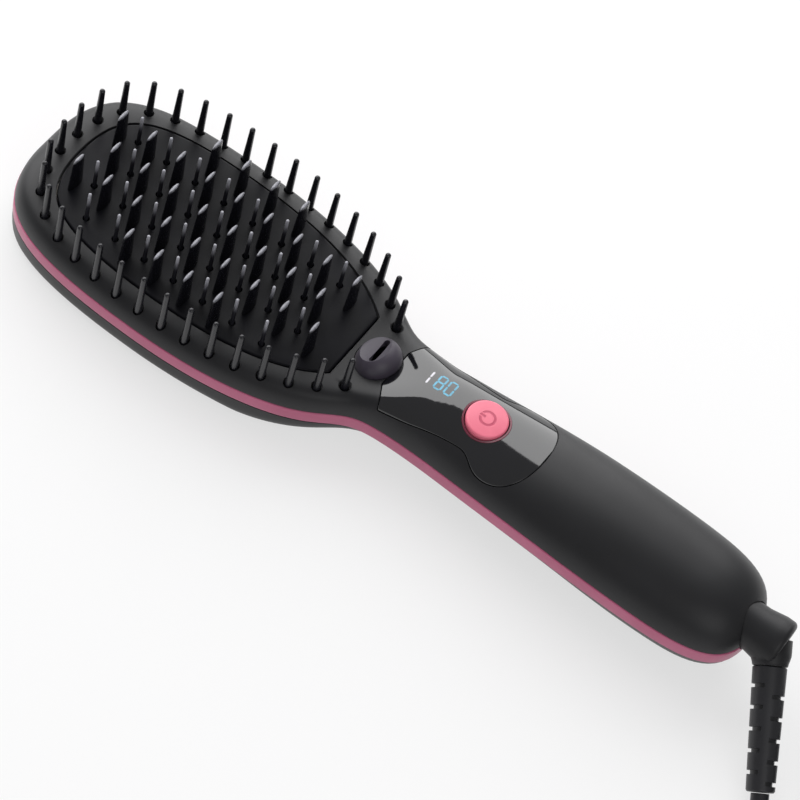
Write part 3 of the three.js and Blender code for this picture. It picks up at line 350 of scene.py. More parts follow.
@dataclass(frozen=True)
class Moulded:
    """Moulded plastic or rubber with a fine grain and slight cloudiness."""

    name: str
    colour: int
    cloud: int
    roughness: Pair
    grain: float = 0.00035
    relief: float = 0.00001
    cloud_size: float = 0.018
    coat: float = 0.0
    coat_roughness: float = 0.1
    sheen: float = 0.0
    specular: float = 0.5

    def build(self) -> bpy.types.Material:
        """Build the material."""
        shader = Shader(self.name)
        clouds = shader.noise(self.cloud_size, 4.0)
        grain = shader.noise(self.grain, 2.0)
        low, high = self.roughness
        shader.set(
            base_color=shader.blend(clouds.step(0.3, 0.7), srgb(self.colour), srgb(self.cloud)),
            roughness=low + (high - low) * (0.6 * clouds + 0.4 * grain),
            normal=shader.bump(grain, self.relief),
            specular_ior_level=self.specular,
            coat_weight=self.coat,
            coat_roughness=self.coat_roughness,
        )
        if self.sheen:
            shader.set(sheen_weight=self.sheen, sheen_roughness=0.5)
        return shader.material


@dataclass(frozen=True)
class Crested:
    """Studs that are dark at the foot, with a painted highlight: a lighter colour towards the crest."""

    name: str
    colour: int
    # crest is the colour of the painted highlight near the top of each stud.
    crest: int
    heights: Pair
    roughness: float
    wander: float = 1.4
    highlight_jitter_size: float = 0.0012
    grain: float = 0.0003
    relief: float = 0.000006
    specular: float = 0.4

    def build(self) -> bpy.types.Material:
        """Build the material."""
        shader = Shader(self.name)
        _, _, height = shader.parts(shader.place())
        highlight_jitter = shader.noise(self.highlight_jitter_size, 3.0)
        grain = shader.noise(self.grain, 2.0)
        # Painted highlight: above the given heights the colour turns to the crest colour, and noise moves
        # where it starts.
        painted_highlight = (height / MM + self.wander * (highlight_jitter - 0.5)).step(*self.heights)
        shader.set(
            base_color=shader.blend(painted_highlight, srgb(self.colour), srgb(self.crest)),
            roughness=self.roughness + 0.1 * grain,
            normal=shader.bump(grain, self.relief),
            specular_ior_level=self.specular,
        )
        return shader.material


@dataclass(frozen=True)
class Metal:
    """Plated or turned metal with fine marks along one axis."""

    name: str
    colour: int
    mark: int
    roughness: Pair
    stretch: Point = (1, 1, 1)
    grain: float = 0.0003
    relief: float = 0.000006
    stain_size: float = 0.006

    def build(self) -> bpy.types.Material:
        """Build the material."""
        shader = Shader(self.name)
        marks = shader.noise(self.grain, 3.0, self.stretch)
        stains = shader.noise(self.stain_size, 3.0)
        low, high = self.roughness
        shader.set(
            base_color=shader.blend(stains.step(0.35, 0.75), srgb(self.colour), srgb(self.mark)),
            metallic=1.0,
            roughness=low + (high - low) * marks,
            normal=shader.bump(marks, self.relief),
        )
        return shader.material


@dataclass(frozen=True)
class Glow:
    """Lit segments seen through the dark gloss of the panel."""

    name: str
    colour: int
    strength: float
    cloud_size: float = 0.002
    dimming: float = 0.7
    unlit: Colour = (0.01, 0.01, 0.012)
    roughness: float = 0.25

    def build(self) -> bpy.types.Material:
        """Build the material."""
        shader = Shader(self.name)
        clouds = shader.noise(self.cloud_size, 2.0)
        dim = tuple(self.dimming * share for share in srgb(self.colour))
        shader.set(
            base_color=self.unlit,
            roughness=self.roughness,
            emission_color=shader.blend(clouds.step(0.3, 0.7), srgb(self.colour), dim),
            emission_strength=self.strength,
        )
        return shader.material


@dataclass(frozen=True)
class ButtonGloss:
    """Pink satin plastic with a power symbol pressed into its top.

    Sizes of the symbol are millimetres; pairs are where a soft edge starts and ends.
    """

    name: str
    centre: Pair
    colour: int = 0xE8748A
    cloud: int = 0xE46E85
    mark: int = 0xBE4160
    ring: float = 2.5
    line: float = 0.32
    opening_half: Pair = (0.75, 0.95)
    opening_start: Pair = (-0.1, 0.1)
    bar_back: float = 1.9
    bar_half: Pair = (1.0, 1.15)
    press: float = 0.00012
    grain: float = 0.0003
    relief: float = 0.000005
    cloud_size: float = 0.006

    def build(self) -> bpy.types.Material:
        """Build the material."""
        shader = Shader(self.name)
        x, y, _ = shader.parts(shader.place())
        along = (x - self.centre[0]) / MM
        across = (y - self.centre[1]) / MM
        edge = (self.line, 1.6 * self.line)
        reach = (along * along + across * across) ** 0.5
        circle = 1 - (reach - self.ring).size().step(*edge)
        opening = across.size().step(*self.opening_half).most(along.step(*self.opening_start))
        length = 1 - (along + self.bar_back).size().step(*self.bar_half)
        bar = (1 - across.size().step(*edge)) * length
        symbol = (circle * opening).most(bar)
        grain = shader.noise(self.grain, 2.0)
        clouds = shader.noise(self.cloud_size, 3.0)
        plain = shader.blend(clouds.step(0.3, 0.7), srgb(self.colour), srgb(self.cloud))
        shader.set(
            base_color=shader.blend(symbol, plain, srgb(self.mark)),
            roughness=0.32 + 0.08 * grain,
            normal=shader.bump(1 - symbol, self.press, shader.bump(grain, self.relief)),
        )
        return shader.material


Finish = Moulded | Crested | Metal | Glow | ButtonGloss


class Finishes:
    """All finishes of the brush, each built once."""

    SOFT_TOUCH = Moulded("soft_touch", 0x18181B, 0x141417, (0.4, 0.5), sheen=0.1, specular=0.33)
    TRIM = Moulded("trim_pink", 0xC06284, 0xB85A7C, (0.3, 0.4), relief=0.000006)
    # The rim's maroon paints the shade round the button's side wall and gap.
    SHADE_RIM = Moulded("painted_shade_rim", 0x6E2339, 0x641E33, (0.28, 0.36), relief=0.000004)
    CERAMIC_COAT = Moulded("ceramic_coat", 0x0C0C10, 0x111116, (0.3, 0.42), relief=0.000006, specular=0.1)
    NYLON = Moulded("bristle_nylon", 0x15151A, 0x1A1A1F, (0.22, 0.32), relief=0.000006)
    PANEL = Moulded("panel_gloss", 0x0B0B0F, 0x0E0E13, (0.05, 0.08), relief=0.0000005, specular=0.8)
    RUBBER = Moulded("cord_rubber", 0x1E1E22, 0x19191D, (0.34, 0.44), grain=0.0005)
    PALE = Moulded("pale_nylon", 0xD8D4CC, 0xCFC9BE, (0.4, 0.55))
    STONE = Moulded("heater_stone", 0xE6E0D6, 0xD8D0C2, (0.5, 0.7), relief=0.00003)
    BOARD = Moulded("board_green", 0x1F5B38, 0x184A2D, (0.3, 0.45), coat=0.4)
    # The blade and slim pin finishes paint a highlight in light grey on the crests of the studs.
    BLADE = Crested("blade_coat", 0x131318, 0x94949C, (38.5, 39.7), 0.2)
    SLIM = Crested("slim_nylon", 0x26262C, 0xA8A8B0, (31.0, 38.4), 0.26)
    # The hood's finish is a lighter copy of the soft-touch, which paints the light falling on the hood.
    LIT_HOOD = Moulded("hood_lit_soft_touch", 0x3E3845, 0x38323E, (0.4, 0.5), sheen=0.1)
    STEEL = Metal("bright_steel", 0xC2C6CC, 0xA9ADB4, (0.22, 0.36))
    SCREW = Metal("screw_steel", 0x8F949B, 0x7D8289, (0.25, 0.4), stretch=(1, 1, 6))
    PLATED = Metal("plug_plating", 0xD2D4D8, 0xBDC0C5, (0.12, 0.22), stretch=(4, 4, 1))
    BRASS = Metal("contact_brass", 0xC9A55A, 0xB08C45, (0.25, 0.4))
    WHITE_GLOW = Glow("glow_white", 0xE4E2EA, 1.1)
    TEAL_GLOW = Glow("glow_teal", 0x58B0CF, 1.1)

    def __init__(self) -> None:
        """Start with nothing built."""
        self._built: dict[str, bpy.types.Material] = {}

    def get(self, finish: Finish) -> bpy.types.Material:
        """Return the material of a finish, built the first time it is asked for."""
        if finish.name not in self._built:
            self._built[finish.name] = finish.build()
        return self._built[finish.name]


# Places


@dataclass
class Layout:
    """The maker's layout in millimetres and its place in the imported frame."""

    button_x: float = 118.0
    middle: float = field(init=False)

    def __post_init__(self) -> None:
        """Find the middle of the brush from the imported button."""
        low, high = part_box("power_button")
        self.middle = self.button_x - (low.x + high.x) / 2 / MM

    def point(self, x: float, y: float, z: float) -> Vector:
        """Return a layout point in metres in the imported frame."""
        return Vector(((x - self.middle) * MM, y * MM, z * MM))


# Lines and forms in layout millimetres


class Line:
    """A line of x, y pairs that runs towards the handle."""

    def __init__(self, pairs: Iterable[Pair]) -> None:
        """Keep the pairs.

        Args:
            pairs: points of the line, from the tip to the handle.
        """
        self.pairs = list(pairs)
        self.places = [pair[0] for pair in self.pairs]

    @classmethod
    def through(cls, curves: Sequence[Sequence[Pair]], samples: int) -> Line:
        """Return the line through cubic curves.

        Args:
            curves: four corners of each curve.
            samples: steps along each curve.

        Returns:
            The line.
        """
        pairs = [curves[0][0]]
        for a, b, c, d in curves:
            for step in range(1, samples + 1):
                t = step / samples
                shares = ((1 - t) ** 3, 3 * t * (1 - t) ** 2, 3 * t * t * (1 - t), t**3)
                axes = zip(a, b, c, d)
                pairs.append(tuple(sum(s * p for s, p in zip(shares, axis)) for axis in axes))
        return cls(pairs)

    def at(self, x: float) -> float:
        """Return the line's y at x."""
        after = bisect_left(self.places, x)
        if after == 0:
            return self.pairs[0][1]
        if after == len(self.pairs):
            return self.pairs[-1][1]
        (x0, y0), (x1, y1) = self.pairs[after - 1], self.pairs[after]
        return y0 + (y1 - y0) * (x - x0) / (x1 - x0)

    def inset(self, distance: float) -> Line:
        """Return the line moved towards the axis."""
        moved = []
        last = len(self.pairs) - 1
        for place, (x, y) in enumerate(self.pairs):
            before, after = self.pairs[max(place - 1, 0)], self.pairs[min(place + 1, last)]
            run, rise = after[0] - before[0], after[1] - before[1]
            length = math.hypot(run, rise)
            if y == 0:
                moved.append((x + distance if place == 0 else x - distance, 0.0))
            else:
                moved.append((x + distance * rise / length, y - distance * run / length))
        return Line(moved)

    def outline(self) -> list[Pair]:
        """Return the closed outline of the line and its mirror image."""
        return self.pairs + [(x, -y) for x, y in reversed(self.pairs) if abs(y) > 1e-6]

    def evenly(self, count: int, first: float) -> list[Pair]:
        """Return evenly spaced points.

        Args:
            count: how many.
            first: where the first lies, in spacings from the start.

        Returns:
            The points, the last of them at the line's end.
        """
        reach = [0.0]
        for (x0, y0), (x1, y1) in zip(self.pairs, self.pairs[1:]):
            reach.append(reach[-1] + math.hypot(x1 - x0, y1 - y0))
        spacing = reach[-1] / (count - 1 + first)
        found = []
        for step in range(count):
            target = min(spacing * (step + first), reach[-1])
            after = min(max(bisect_left(reach, target - 1e-9), 1), len(reach) - 1)
            share = (target - reach[after - 1]) / (reach[after] - reach[after - 1])
            (x0, y0), (x1, y1) = self.pairs[after - 1], self.pairs[after]
            found.append((x0 + (x1 - x0) * share, y0 + (y1 - y0) * share))
        return found


Outline = list[Pair]
Ring = Sequence[Point | Vector]
Form = tuple[list[Point | Vector], list[Sequence[int]]]


def blended(low: float, high: float, share: float) -> float:
    """Return the value a share of the way from low to high."""
    return low + (high - low) * share


def smooth(span: Pair, x: float) -> float:
    """Return a smooth step from 0 to 1 over a span of x."""
    share = min(max((x - span[0]) / (span[1] - span[0]), 0.0), 1.0)
    return share * share * (3 - 2 * share)


def shrunk(outline: Outline, distance: float) -> Outline:
    """Return a closed outline, drawn clockwise, moved inwards by a distance."""
    moved = []
    for place, (x, y) in enumerate(outline):
        before, after = outline[place - 1], outline[(place + 1) % len(outline)]
        first = Vector((y - before[1], before[0] - x)).normalized()
        second = Vector((after[1] - y, x - after[0])).normalized()
        middle = (first + second).normalized()
        reach = distance / max(middle.dot(first), 0.5)
        moved.append((x + reach * middle.x, y + reach * middle.y))
    return moved


def hooped(rings: Sequence[Ring], hoops: int) -> Form:
    """Join rings of equal count with faces.

    Args:
        rings: the rings.
        hoops: how many gaps are closed; one for every ring joins the last to the first.

    Returns:
        Points and faces.
    """
    points = [point for ring in rings for point in ring]
    count, total = len(rings[0]), len(points)
    faces = []
    for start in range(0, hoops * count, count):
        for step in range(count):
            near, far = start + step, start + (step + 1) % count
            faces.append((near, far, (far + count) % total, (near + count) % total))
    return points, faces


def lofted(rings: Sequence[Ring], *poles: Point | Vector | None) -> Form:
    """Join rings of equal count with faces and close both ends.

    Args:
        rings: the rings.
        poles: points that close the first and the last ring, where no flat face does.

    Returns:
        Points and faces.
    """
    count = len(rings[0])
    points, faces = hooped(rings, len(rings) - 1)
    starts = (0, len(points) - count)
    for pole, start in zip(poles or (None, None), starts, strict=True):
        loop = range(start, start + count)
        if pole is None:
            faces.append(tuple(loop))
            continue
        faces += [(loop[step - 1], loop[step], len(points)) for step in range(count)]
        points.append(pole)
    return points, faces


def slab(outline: Outline, levels: Sequence[Pair]) -> Form:
    """Return an upright form over an outline.

    Args:
        outline: its outline.
        levels: pairs of how far it is drawn in and its height, from the bottom up.

    Returns:
        Points and faces.
    """
    rings = [[(x, y, height) for x, y in shrunk(outline, inset)] for inset, height in levels]
    return lofted(rings)


def turned(matrix: Matrix, profile: Sequence[Pair], sides: int) -> Form:
    """Return a turned form.

    Args:
        matrix: place of the form, whose own axis is z.
        profile: pairs of radius and height, from a point on the axis to another.
        sides: flats round it.

    Returns:
        Points and faces.
    """
    turns = [math.tau * step / sides for step in range(sides)]
    rings = []
    for radius, height in profile[1:-1]:
        level = [(radius * math.cos(t), radius * math.sin(t), height) for t in turns]
        rings.append([matrix @ Vector(point) for point in level])
    ends = [matrix @ Vector((0, 0, profile[end][1])) for end in (0, -1)]
    return lofted(rings, *ends)


def capped(edge: Sequence[Pair]) -> list[Pair]:
    """Return a profile whose ends are drawn in to the axis."""
    return [(0, edge[0][1]), *edge, (0, edge[-1][1])]


def rod(radius: float, low: float, high: float) -> list[Pair]:
    """Return the profile of a plain round rod."""
    return capped([(radius, low), (radius, high)])


def standing(x: float, y: float = 0.0, z: float = 0.0) -> Matrix:
    """Return the place of a form whose own axis runs up."""
    return Matrix.Translation((x, y, z))


def lying(x: float, y: float = 0.0, z: float = 0.0) -> Matrix:
    """Return the place of a form whose own axis runs along x."""
    return standing(x, y, z) @ Matrix.Rotation(math.pi / 2, 4, "Y")


def rounded(corner: Pair, radius: float, start: float, steps: int = 5) -> list[Pair]:
    """Return a quarter circle for a profile.

    Args:
        corner: radius and height of the circle's centre.
        radius: radius of the rounding.
        start: angle at which it starts, in degrees; it runs on for 90.
        steps: steps of the quarter.

    Returns:
        Points of the quarter circle.
    """
    angles = [math.radians(start + 90 * step / steps) for step in range(steps + 1)]
    return [(corner[0] + radius * math.cos(a), corner[1] + radius * math.sin(a)) for a in angles]


def boxed(matrix: Matrix, size: Point) -> Form:
    """Return a block of a size about the origin of a matrix."""
    x, y, z = (length / 2 for length in size)
    corners = ((-x, -y), (x, -y), (x, y), (-x, y))
    return lofted([[matrix @ Vector((*corner, side)) for corner in corners] for side in (-z, z)])


class Cut(Enum):
    """What is left where two forms meet."""

    TAKE_AWAY = "DIFFERENCE"
    KEEP_SHARED = "INTERSECT"
    JOIN = "UNION"


def linked(name: str, mesh: bpy.types.Mesh) -> bpy.types.Object:
    """Return a new object of a mesh, linked to the scene."""
    mesh.name = name
    made = bpy.data.objects.new(name, mesh)
    bpy.context.scene.collection.objects.link(made)
    return made


def settled(worked: bpy.types.Object, name: str) -> bpy.types.Object:
    """Turn what a worked object shows into a plain mesh, and remove the worked one.

    Args:
        worked: object with its modifiers.
        name: name of the new object.

    Returns:
        The plain object.
    """
    graph = bpy.context.evaluated_depsgraph_get()
    mesh = bpy.data.meshes.new_from_object(worked.evaluated_get(graph))
    bpy.data.objects.remove(worked)
    return linked(name, mesh)


def carved(target: bpy.types.Object, tools: Sequence[bpy.types.Object], cut: Cut) -> bpy.types.Object:
    """Cut or join closed forms.

    Args:
        target: the form that is worked on.
        tools: the forms to cut or join it with, which are used up.
        cut: what is left.

    Returns:
        The new form, under the target's name.
    """
    name = target.name
    for tool in tools:
        modifier = target.modifiers.new(tool.name, "BOOLEAN")
        modifier.solver, modifier.operation, modifier.object = "MANIFOLD", cut.value, tool
    made = settled(target, name)
    for tool in tools:
        bpy.data.objects.remove(tool)
    return made


def tube(path: Sequence[Vector], radius: float, sides: int = 20) -> Form:
    """Return a round tube along a path, turned as little as the path allows.

    Args:
        path: its centre line.
        radius: its radius.
        sides: corners of the cross-section.

    Returns:
        Points and faces.
    """
    rings = []
    normal = Vector((0, 0, 1))
    turns = [math.tau * step / sides for step in range(sides)]
    for place, centre in enumerate(path):
        before, after = path[max(place - 1, 0)], path[min(place + 1, len(path) - 1)]
        along = (after - before).normalized()
        normal = (normal - along * normal.dot(along)).normalized()
        across = along.cross(normal)
        rings.append([centre + radius * (math.cos(t) * normal + math.sin(t) * across) for t in turns])
    return lofted(rings)


@dataclass
class Bench:
    """Where pieces are made: the layout, the finishes and what every piece needs."""

    layout: Layout
    finishes: Finishes

    def form(self, name: str, *forms: Form) -> bpy.types.Object:
        """Make one object of closed forms, with their faces outwards.

        Args:
            name: name of the object.
            forms: points in layout millimetres and faces.

        Returns:
            The object.
        """
        points: list[Point] = []
        faces: list[Sequence[int]] = []
        for corners, sides in forms:
            start = len(points)
            points += [tuple(self.layout.point(*corner)) for corner in corners]
            faces += [tuple(start + corner for corner in side) for side in sides]
        mesh = bpy.data.meshes.new(name)
        mesh.from_pydata(points, [], faces)
        work = bmesh.new()
        work.from_mesh(mesh)
        bmesh.ops.recalc_face_normals(work, faces=work.faces)
        work.to_mesh(mesh)
        work.free()
        return linked(name, mesh)

    def marks(self, name: str, places: Sequence[Point], closed_line: bool = False) -> bpy.types.Object:
        """Make a carrier of points, or of one closed line.

        Args:
            name: name of the object.
            places: points in layout millimetres.
            closed_line: whether the points are joined.

        Returns:
            The carrier.
        """
        mesh = bpy.data.meshes.new(name)
        count = len(places)
        edges = [(step, (step + 1) % count) for step in range(count)] if closed_line else []
        mesh.from_pydata([tuple(self.layout.point(*place)) for place in places], edges, [])
        return linked(name, mesh)

    def fit(
        self,
        piece: bpy.types.Object,
        body: str,
        finish: Finish,
        slot: str,
        *nodes: str,
        crease: float = 35.0,
    ) -> None:
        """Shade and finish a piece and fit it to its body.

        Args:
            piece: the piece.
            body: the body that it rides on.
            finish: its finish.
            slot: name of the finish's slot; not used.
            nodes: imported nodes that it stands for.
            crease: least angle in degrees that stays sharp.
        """
        piece.data.shade_smooth()
        piece.data.set_sharp_from_angle(angle=math.radians(crease))
        piece.data.materials.clear()
        piece.data.materials.append(self.finishes.get(finish))
        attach(piece, body)
        if nodes:
            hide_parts(*nodes)
        LOG.info("%s: %d faces", piece.name, len(piece.data.polygons))


# Housings


@dataclass(frozen=True)
class BodyForm:
    """Rules for the outside of the brush: its plan, crest, seam and back."""

    head_reach: float = 63.0
    handle_end: float = 227.5
    plan_curves: tuple[tuple[Pair, ...], ...] = (
        ((-63.0, 0.0), (-63.0, 32.0), (-47.0, 39.5), (3.0, 39.5)),
        ((3.0, 39.5), (35.0, 39.5), (57.0, 33.65), (70.0, 25.2)),
        ((70.0, 25.2), (78.45, 19.71), (80.0, 17.4), (93.0, 17.4)),
        ((93.0, 17.4), (114.0, 17.4), (130.0, 21.6), (180.0, 21.6)),
        ((180.0, 21.6), (214.0, 21.6), (227.5, 20.0), (227.5, 0.0)),
    )
    crest_curves: tuple[tuple[Pair, ...], ...] = (
        ((-63.0, 24.5), (-47.0, 24.5), (3.0, 24.5), (70.0, 24.5)),
        ((70.0, 24.5), (82.0, 24.5), (88.0, 33.3), (108.0, 33.8)),
        ((108.0, 33.8), (139.0, 34.6), (150.0, 38.4), (190.0, 38.4)),
    )
    tip_round: Pair = (13.0, 2.4)
    end_round: Pair = (25.0, 2.6)
    seam_heights: Pair = (13.0, 20.4)
    seam_span: Pair = (56.0, 160.0)
    sinks: Pair = (0.8, 0.2)
    waist_spans: tuple[Pair, Pair] = ((-50.0, -40.0), (34.0, 46.0))
    clearances: Pair = (3.6, 0.6)
    clear_spans: tuple[Pair, Pair] = ((44.0, 92.0), (150.0, 190.0))
    top_span: Pair = (60.0, 100.0)
    back_span: Pair = (42.0, 92.0)
    tip_span: Pair = (-62.0, -34.0)
    tip_across: float = 4.5
    top_powers: tuple[Pair, Pair] = ((12.0, 2.3), (2.6, 2.3))
    back_powers: tuple[Pair, Pair] = ((12.0, 1.85), (6.0, 1.85))
    stations: int = 150
    quarter: int = 40
    samples: int = 48
    beyond: tuple[Point, Point] = ((-70.0, -50.0, -5.0), (236.0, 50.0, 60.0))

    def plan(self, depth: float) -> Line:
        """Return the plan of one side, moved inwards by a depth."""
        line = Line.through(self.plan_curves, 24)
        return line.inset(depth) if depth else line

    def seam_at(self, x: float) -> float:
        """Return the height of the seam between the housings."""
        return blended(*self.seam_heights, smooth(self.seam_span, x))

    def keel_at(self, x: float) -> float:
        """Return the height of the back's lowest line, before it is cut flat at the table."""
        front, rear = self.waist_spans
        sink = blended(*self.sinks, smooth(front, x) - smooth(rear, x))
        neck, grip = self.clearances
        lifted = blended(-sink, neck, smooth(self.clear_spans[0], x))
        return lifted - (neck - grip) * smooth(self.clear_spans[1], x)

    def end_share(self, x: float, depth: float) -> float:
        """Return how much of its height the body has left near its ends."""
        share = 1.0
        for reach, (radius, exponent) in (
            (x + self.head_reach - depth, self.tip_round),
            (self.handle_end - depth - x, self.end_round),
        ):
            left = 1 - min(max(reach / (radius - depth), 0.0), 1.0)
            share *= (1 - left**exponent) ** (1 / exponent)
        return share

    def powers(self, x: float, above: bool) -> Pair:
        """Return the exponents of a section across and upright."""
        if not above:
            return tuple(blended(*pair, smooth(self.back_span, x)) for pair in self.back_powers)
        across, upright = (blended(*pair, smooth(self.top_span, x)) for pair in self.top_powers)
        return blended(self.tip_across, across, smooth(self.tip_span, x)), upright

    def ring(self, x: float, depth: float, plan: Line) -> Ring:
        """Return one section, its points spaced evenly.

        Args:
            x: place along the brush.
            depth: how far inside the surface.
            plan: the plan at that depth.

        Returns:
            The points round the section.
        """
        half, seam, share = plan.at(x), self.seam_at(x), self.end_share(x, depth)
        crest = CREST.at(x) - depth
        keel = max(self.keel_at(x), 0.0) + depth if depth else self.keel_at(x)
        sides = []
        for above, height in ((True, crest - seam), (False, keel - seam)):
            across, upright = self.powers(x, above)
            steps = range(self.samples + 1)
            shares = {math.cos(math.pi / 2 * step / self.samples) ** (2 / across) for step in steps}
            shares |= {step / self.samples for step in steps}
            quarter = [
                (half * c, seam + height * share * max(1 - c**across, 0.0) ** (1 / upright))
                for c in sorted(shares, reverse=True)
            ]
            sides.append(Line(quarter).evenly(self.quarter + 1, 0))
        top, under = sides
        profile = top + [(-y, z) for y, z in reversed(top[:-1])]
        profile += [(-y, z) for y, z in under[1:]] + list(reversed(under[1:-1]))
        return [(x, y, max(z, 0.0)) for y, z in profile]

    def solid(self, depth: float) -> Form:
        """Return the whole body, moved inwards by a depth."""
        plan = self.plan(depth)
        places = sorted({round(x, 4) for x, _ in plan.evenly(self.stations, 0)})[1:-1]
        rings = [self.ring(x, depth, plan) for x in places]
        ends = (-self.head_reach + depth, self.handle_end - depth)
        poles = [(x, 0.0, self.seam_at(x)) for x in ends]
        return lofted(rings, *poles)

    def top_at(self, x: float, y: float, depth: float = 0.0) -> float:
        """Return the height of the top surface, moved inwards by a depth."""
        across, upright = self.powers(x, True)
        share = min(abs(y) / max(PLAN.at(x) - depth, 0.01), 1.0)
        seam = self.seam_at(x)
        fall = max(1 - share**across, 0.0) ** (1 / upright)
        return seam + (CREST.at(x) - depth - seam) * self.end_share(x, depth) * fall

    def slice(self, low: float | None, high: float | None) -> Form:
        """Return a slab that follows the seam between two heights over it.

        Args:
            low: lower edge, or none for all below.
            high: upper edge, or none for all above.

        Returns:
            Points and faces.
        """
        (start, right, floor), (end, left, roof) = self.beyond
        rings = []
        for x in range(round(start), round(end) + 1, 3):
            foot = floor if low is None else self.seam_at(x) + low
            head = roof if high is None else self.seam_at(x) + high
            rings.append([(x, right, foot), (x, left, foot), (x, left, head), (x, right, head)])
        return lofted(rings)


BODY = BodyForm()
PLAN = BODY.plan(0)
CREST = Line.through(BODY.crest_curves, 24)


@dataclass
class Housings:
    """Two moulded shells that meet the pink band along the seam.

    Pairs of an edge are its radius, or how far it is drawn in, and its height.
    """

    bench: Bench
    wall: float = 2.6
    band_half: float = 2.85
    gap: float = 0.3
    plate_gap: float = 0.4
    socket_edge: tuple[Pair, ...] = ((1.85, 12), (1.85, 24.1), (2.15, 24.45), (2.5, 24.6), (2.5, 30))
    opening_edge: tuple[Pair, ...] = ((0, 12), (0, 24.15), (-0.12, 24.4), (-0.4, 24.55), (-0.4, 30))
    panel_seat: float = 1.7
    bore_heights: Pair = (20.0, 50.0)
    swivel_height: float = 25.9
    swivel_hole: float = 8.35
    swivel_from: float = 205.0
    screw_x: Pair = (150.0, 188.0)
    screw_head: Pair = (3.0, 1.8)
    screw_edge: tuple[Pair, ...] = ((0.8, 0.0), (0.25, 0.2), (0.0, 0.7))
    screw_shank: Pair = (1.5, 10.0)
    screw_point: Pair = (0.6, 1.0)
    screw_cross: Pair = (0.7, 3.4)
    screw_sink: float = 1.1
    screw_hole: float = 1.8
    recess_span: Pair = (-5.0, 9.0)
    boss_radius: float = 4.4
    boss_heights: Pair = (0.4, 6.0)
    band_thick: float = 2.2
    band_corner: float = 0.45
    band_inset: float = 0.98
    band_steps: int = 260

    def swivel_bore(self) -> bpy.types.Object:
        """Return the tool for the hole of the swivel."""
        place = lying(self.swivel_from, 0, self.swivel_height)
        return self.bench.form("swivel_bore", turned(place, rod(self.swivel_hole, 0, 40), 64))

    def shell(self, name: str, low: float | None, high: float | None) -> bpy.types.Object:
        """Return one hollow housing.

        Args:
            name: name of the piece.
            low: its lower edge over the seam, or none.
            high: its upper edge over the seam, or none.

        Returns:
            The housing, still without its openings.
        """
        outer = self.bench.form(name, BODY.solid(0))
        part = self.bench.form(name + "_part", BODY.slice(low, high))
        kept = carved(outer, [part], Cut.KEEP_SHARED)
        inner = self.bench.form(name + "_room", BODY.solid(self.wall))
        return carved(kept, [inner], Cut.TAKE_AWAY)

    def upper(self) -> None:
        """Build the upper housing with its sockets, plate opening and seats."""
        bench = self.bench
        shell = self.shell("upper_shell", self.band_half + self.gap, None)
        profile = capped(self.socket_edge)
        holes = [turned(standing(x, y), profile, 32) for x, y in BristleRing.places()]
        tools = [bench.form("sockets", *holes)]
        opening = HeatedPlate.outline(self.plate_gap)
        tools.append(bench.form("plate_opening", slab(opening, self.opening_edge)))
        tools.append(bench.form("hood_opening", IonOutlet.dome(self.gap, self.socket_edge[0][1])))
        tools.append(bench.form("panel_seat", ControlPanel.inlay(-self.gap, self.panel_seat, None)))
        bore = turned(standing(ControlPanel.button_x), rod(ControlPanel.hole, *self.bore_heights), 96)
        tools.append(bench.form("button_bore", bore))
        tools.append(self.swivel_bore())
        made = carved(shell, tools, Cut.TAKE_AWAY)
        bench.fit(made, "body", Finishes.SOFT_TOUCH, "soft_touch", "upper_housing", crease=28)

    def rear(self) -> None:
        """Build the rear housing with the bosses and recesses of its screws."""
        bench = self.bench
        shell = self.shell("rear_shell", None, -self.band_half - self.gap)
        wide, deep = self.screw_head[0] + self.gap, self.screw_sink + self.screw_head[1] + self.gap
        hole, (low, high) = self.screw_hole, self.recess_span
        recess = capped([(wide, low), (wide, deep), (hole, deep), (hole, high)])
        bosses, recesses = [], []
        for x in self.screw_x:
            place = standing(x, 0, BODY.keel_at(x))
            bosses.append(turned(place, rod(self.boss_radius, *self.boss_heights), 32))
            recesses.append(turned(place, recess, 48))
        whole = carved(shell, [bench.form("screw_bosses", *bosses)], Cut.JOIN)
        tools = [bench.form("screw_recesses", *recesses), self.swivel_bore()]
        made = carved(whole, tools, Cut.TAKE_AWAY)
        bench.fit(made, "body", Finishes.SOFT_TOUCH, "soft_touch", "rear_housing", crease=28)

    def band(self) -> None:
        """Build the pink band as a rounded strip swept round the seam."""
        name = "seam_band"
        recipe = Recipe(name)
        width = recipe.size("Thickness", self.band_thick * MM)
        height = recipe.size("Height", 2 * self.band_half * MM)
        corner = recipe.size("Corner radius", self.band_corner * MM)
        line = recipe.node("GeometryNodeMeshToCurve", None, (recipe.carrier(),))
        level = recipe.node("GeometryNodeSetCurveNormal", {"mode": "Z_UP"}, (line,))
        inputs = {"Width": width, "Height": height}
        oblong = recipe.node("GeometryNodeCurvePrimitiveQuadrilateral", None, inputs)
        inputs = {"Curve": oblong, "Count": 5, "Radius": corner, "Limit Radius": True}
        section = recipe.node("GeometryNodeFilletCurve", {"mode": "POLY"}, inputs)
        swept = recipe.node("GeometryNodeCurveToMesh", None, {"Curve": level, "Profile Curve": section})
        finish = self.bench.finishes.get(Finishes.TRIM)
        recipe.finish(swept, finish)
        side = PLAN.inset(self.band_inset).evenly(self.band_steps, 0)
        loop = side + [(x, -y) for x, y in reversed(side[1:-1])]
        places = [(x, y, BODY.seam_at(x)) for x, y in loop]
        swept_band = recipe.lay(self.bench.marks(name + "_line", places, closed_line=True))
        made = carved(swept_band, [self.swivel_bore()], Cut.TAKE_AWAY)
        self.bench.fit(made, "body", Finishes.TRIM, "pink_trim", "trim_band", crease=40)

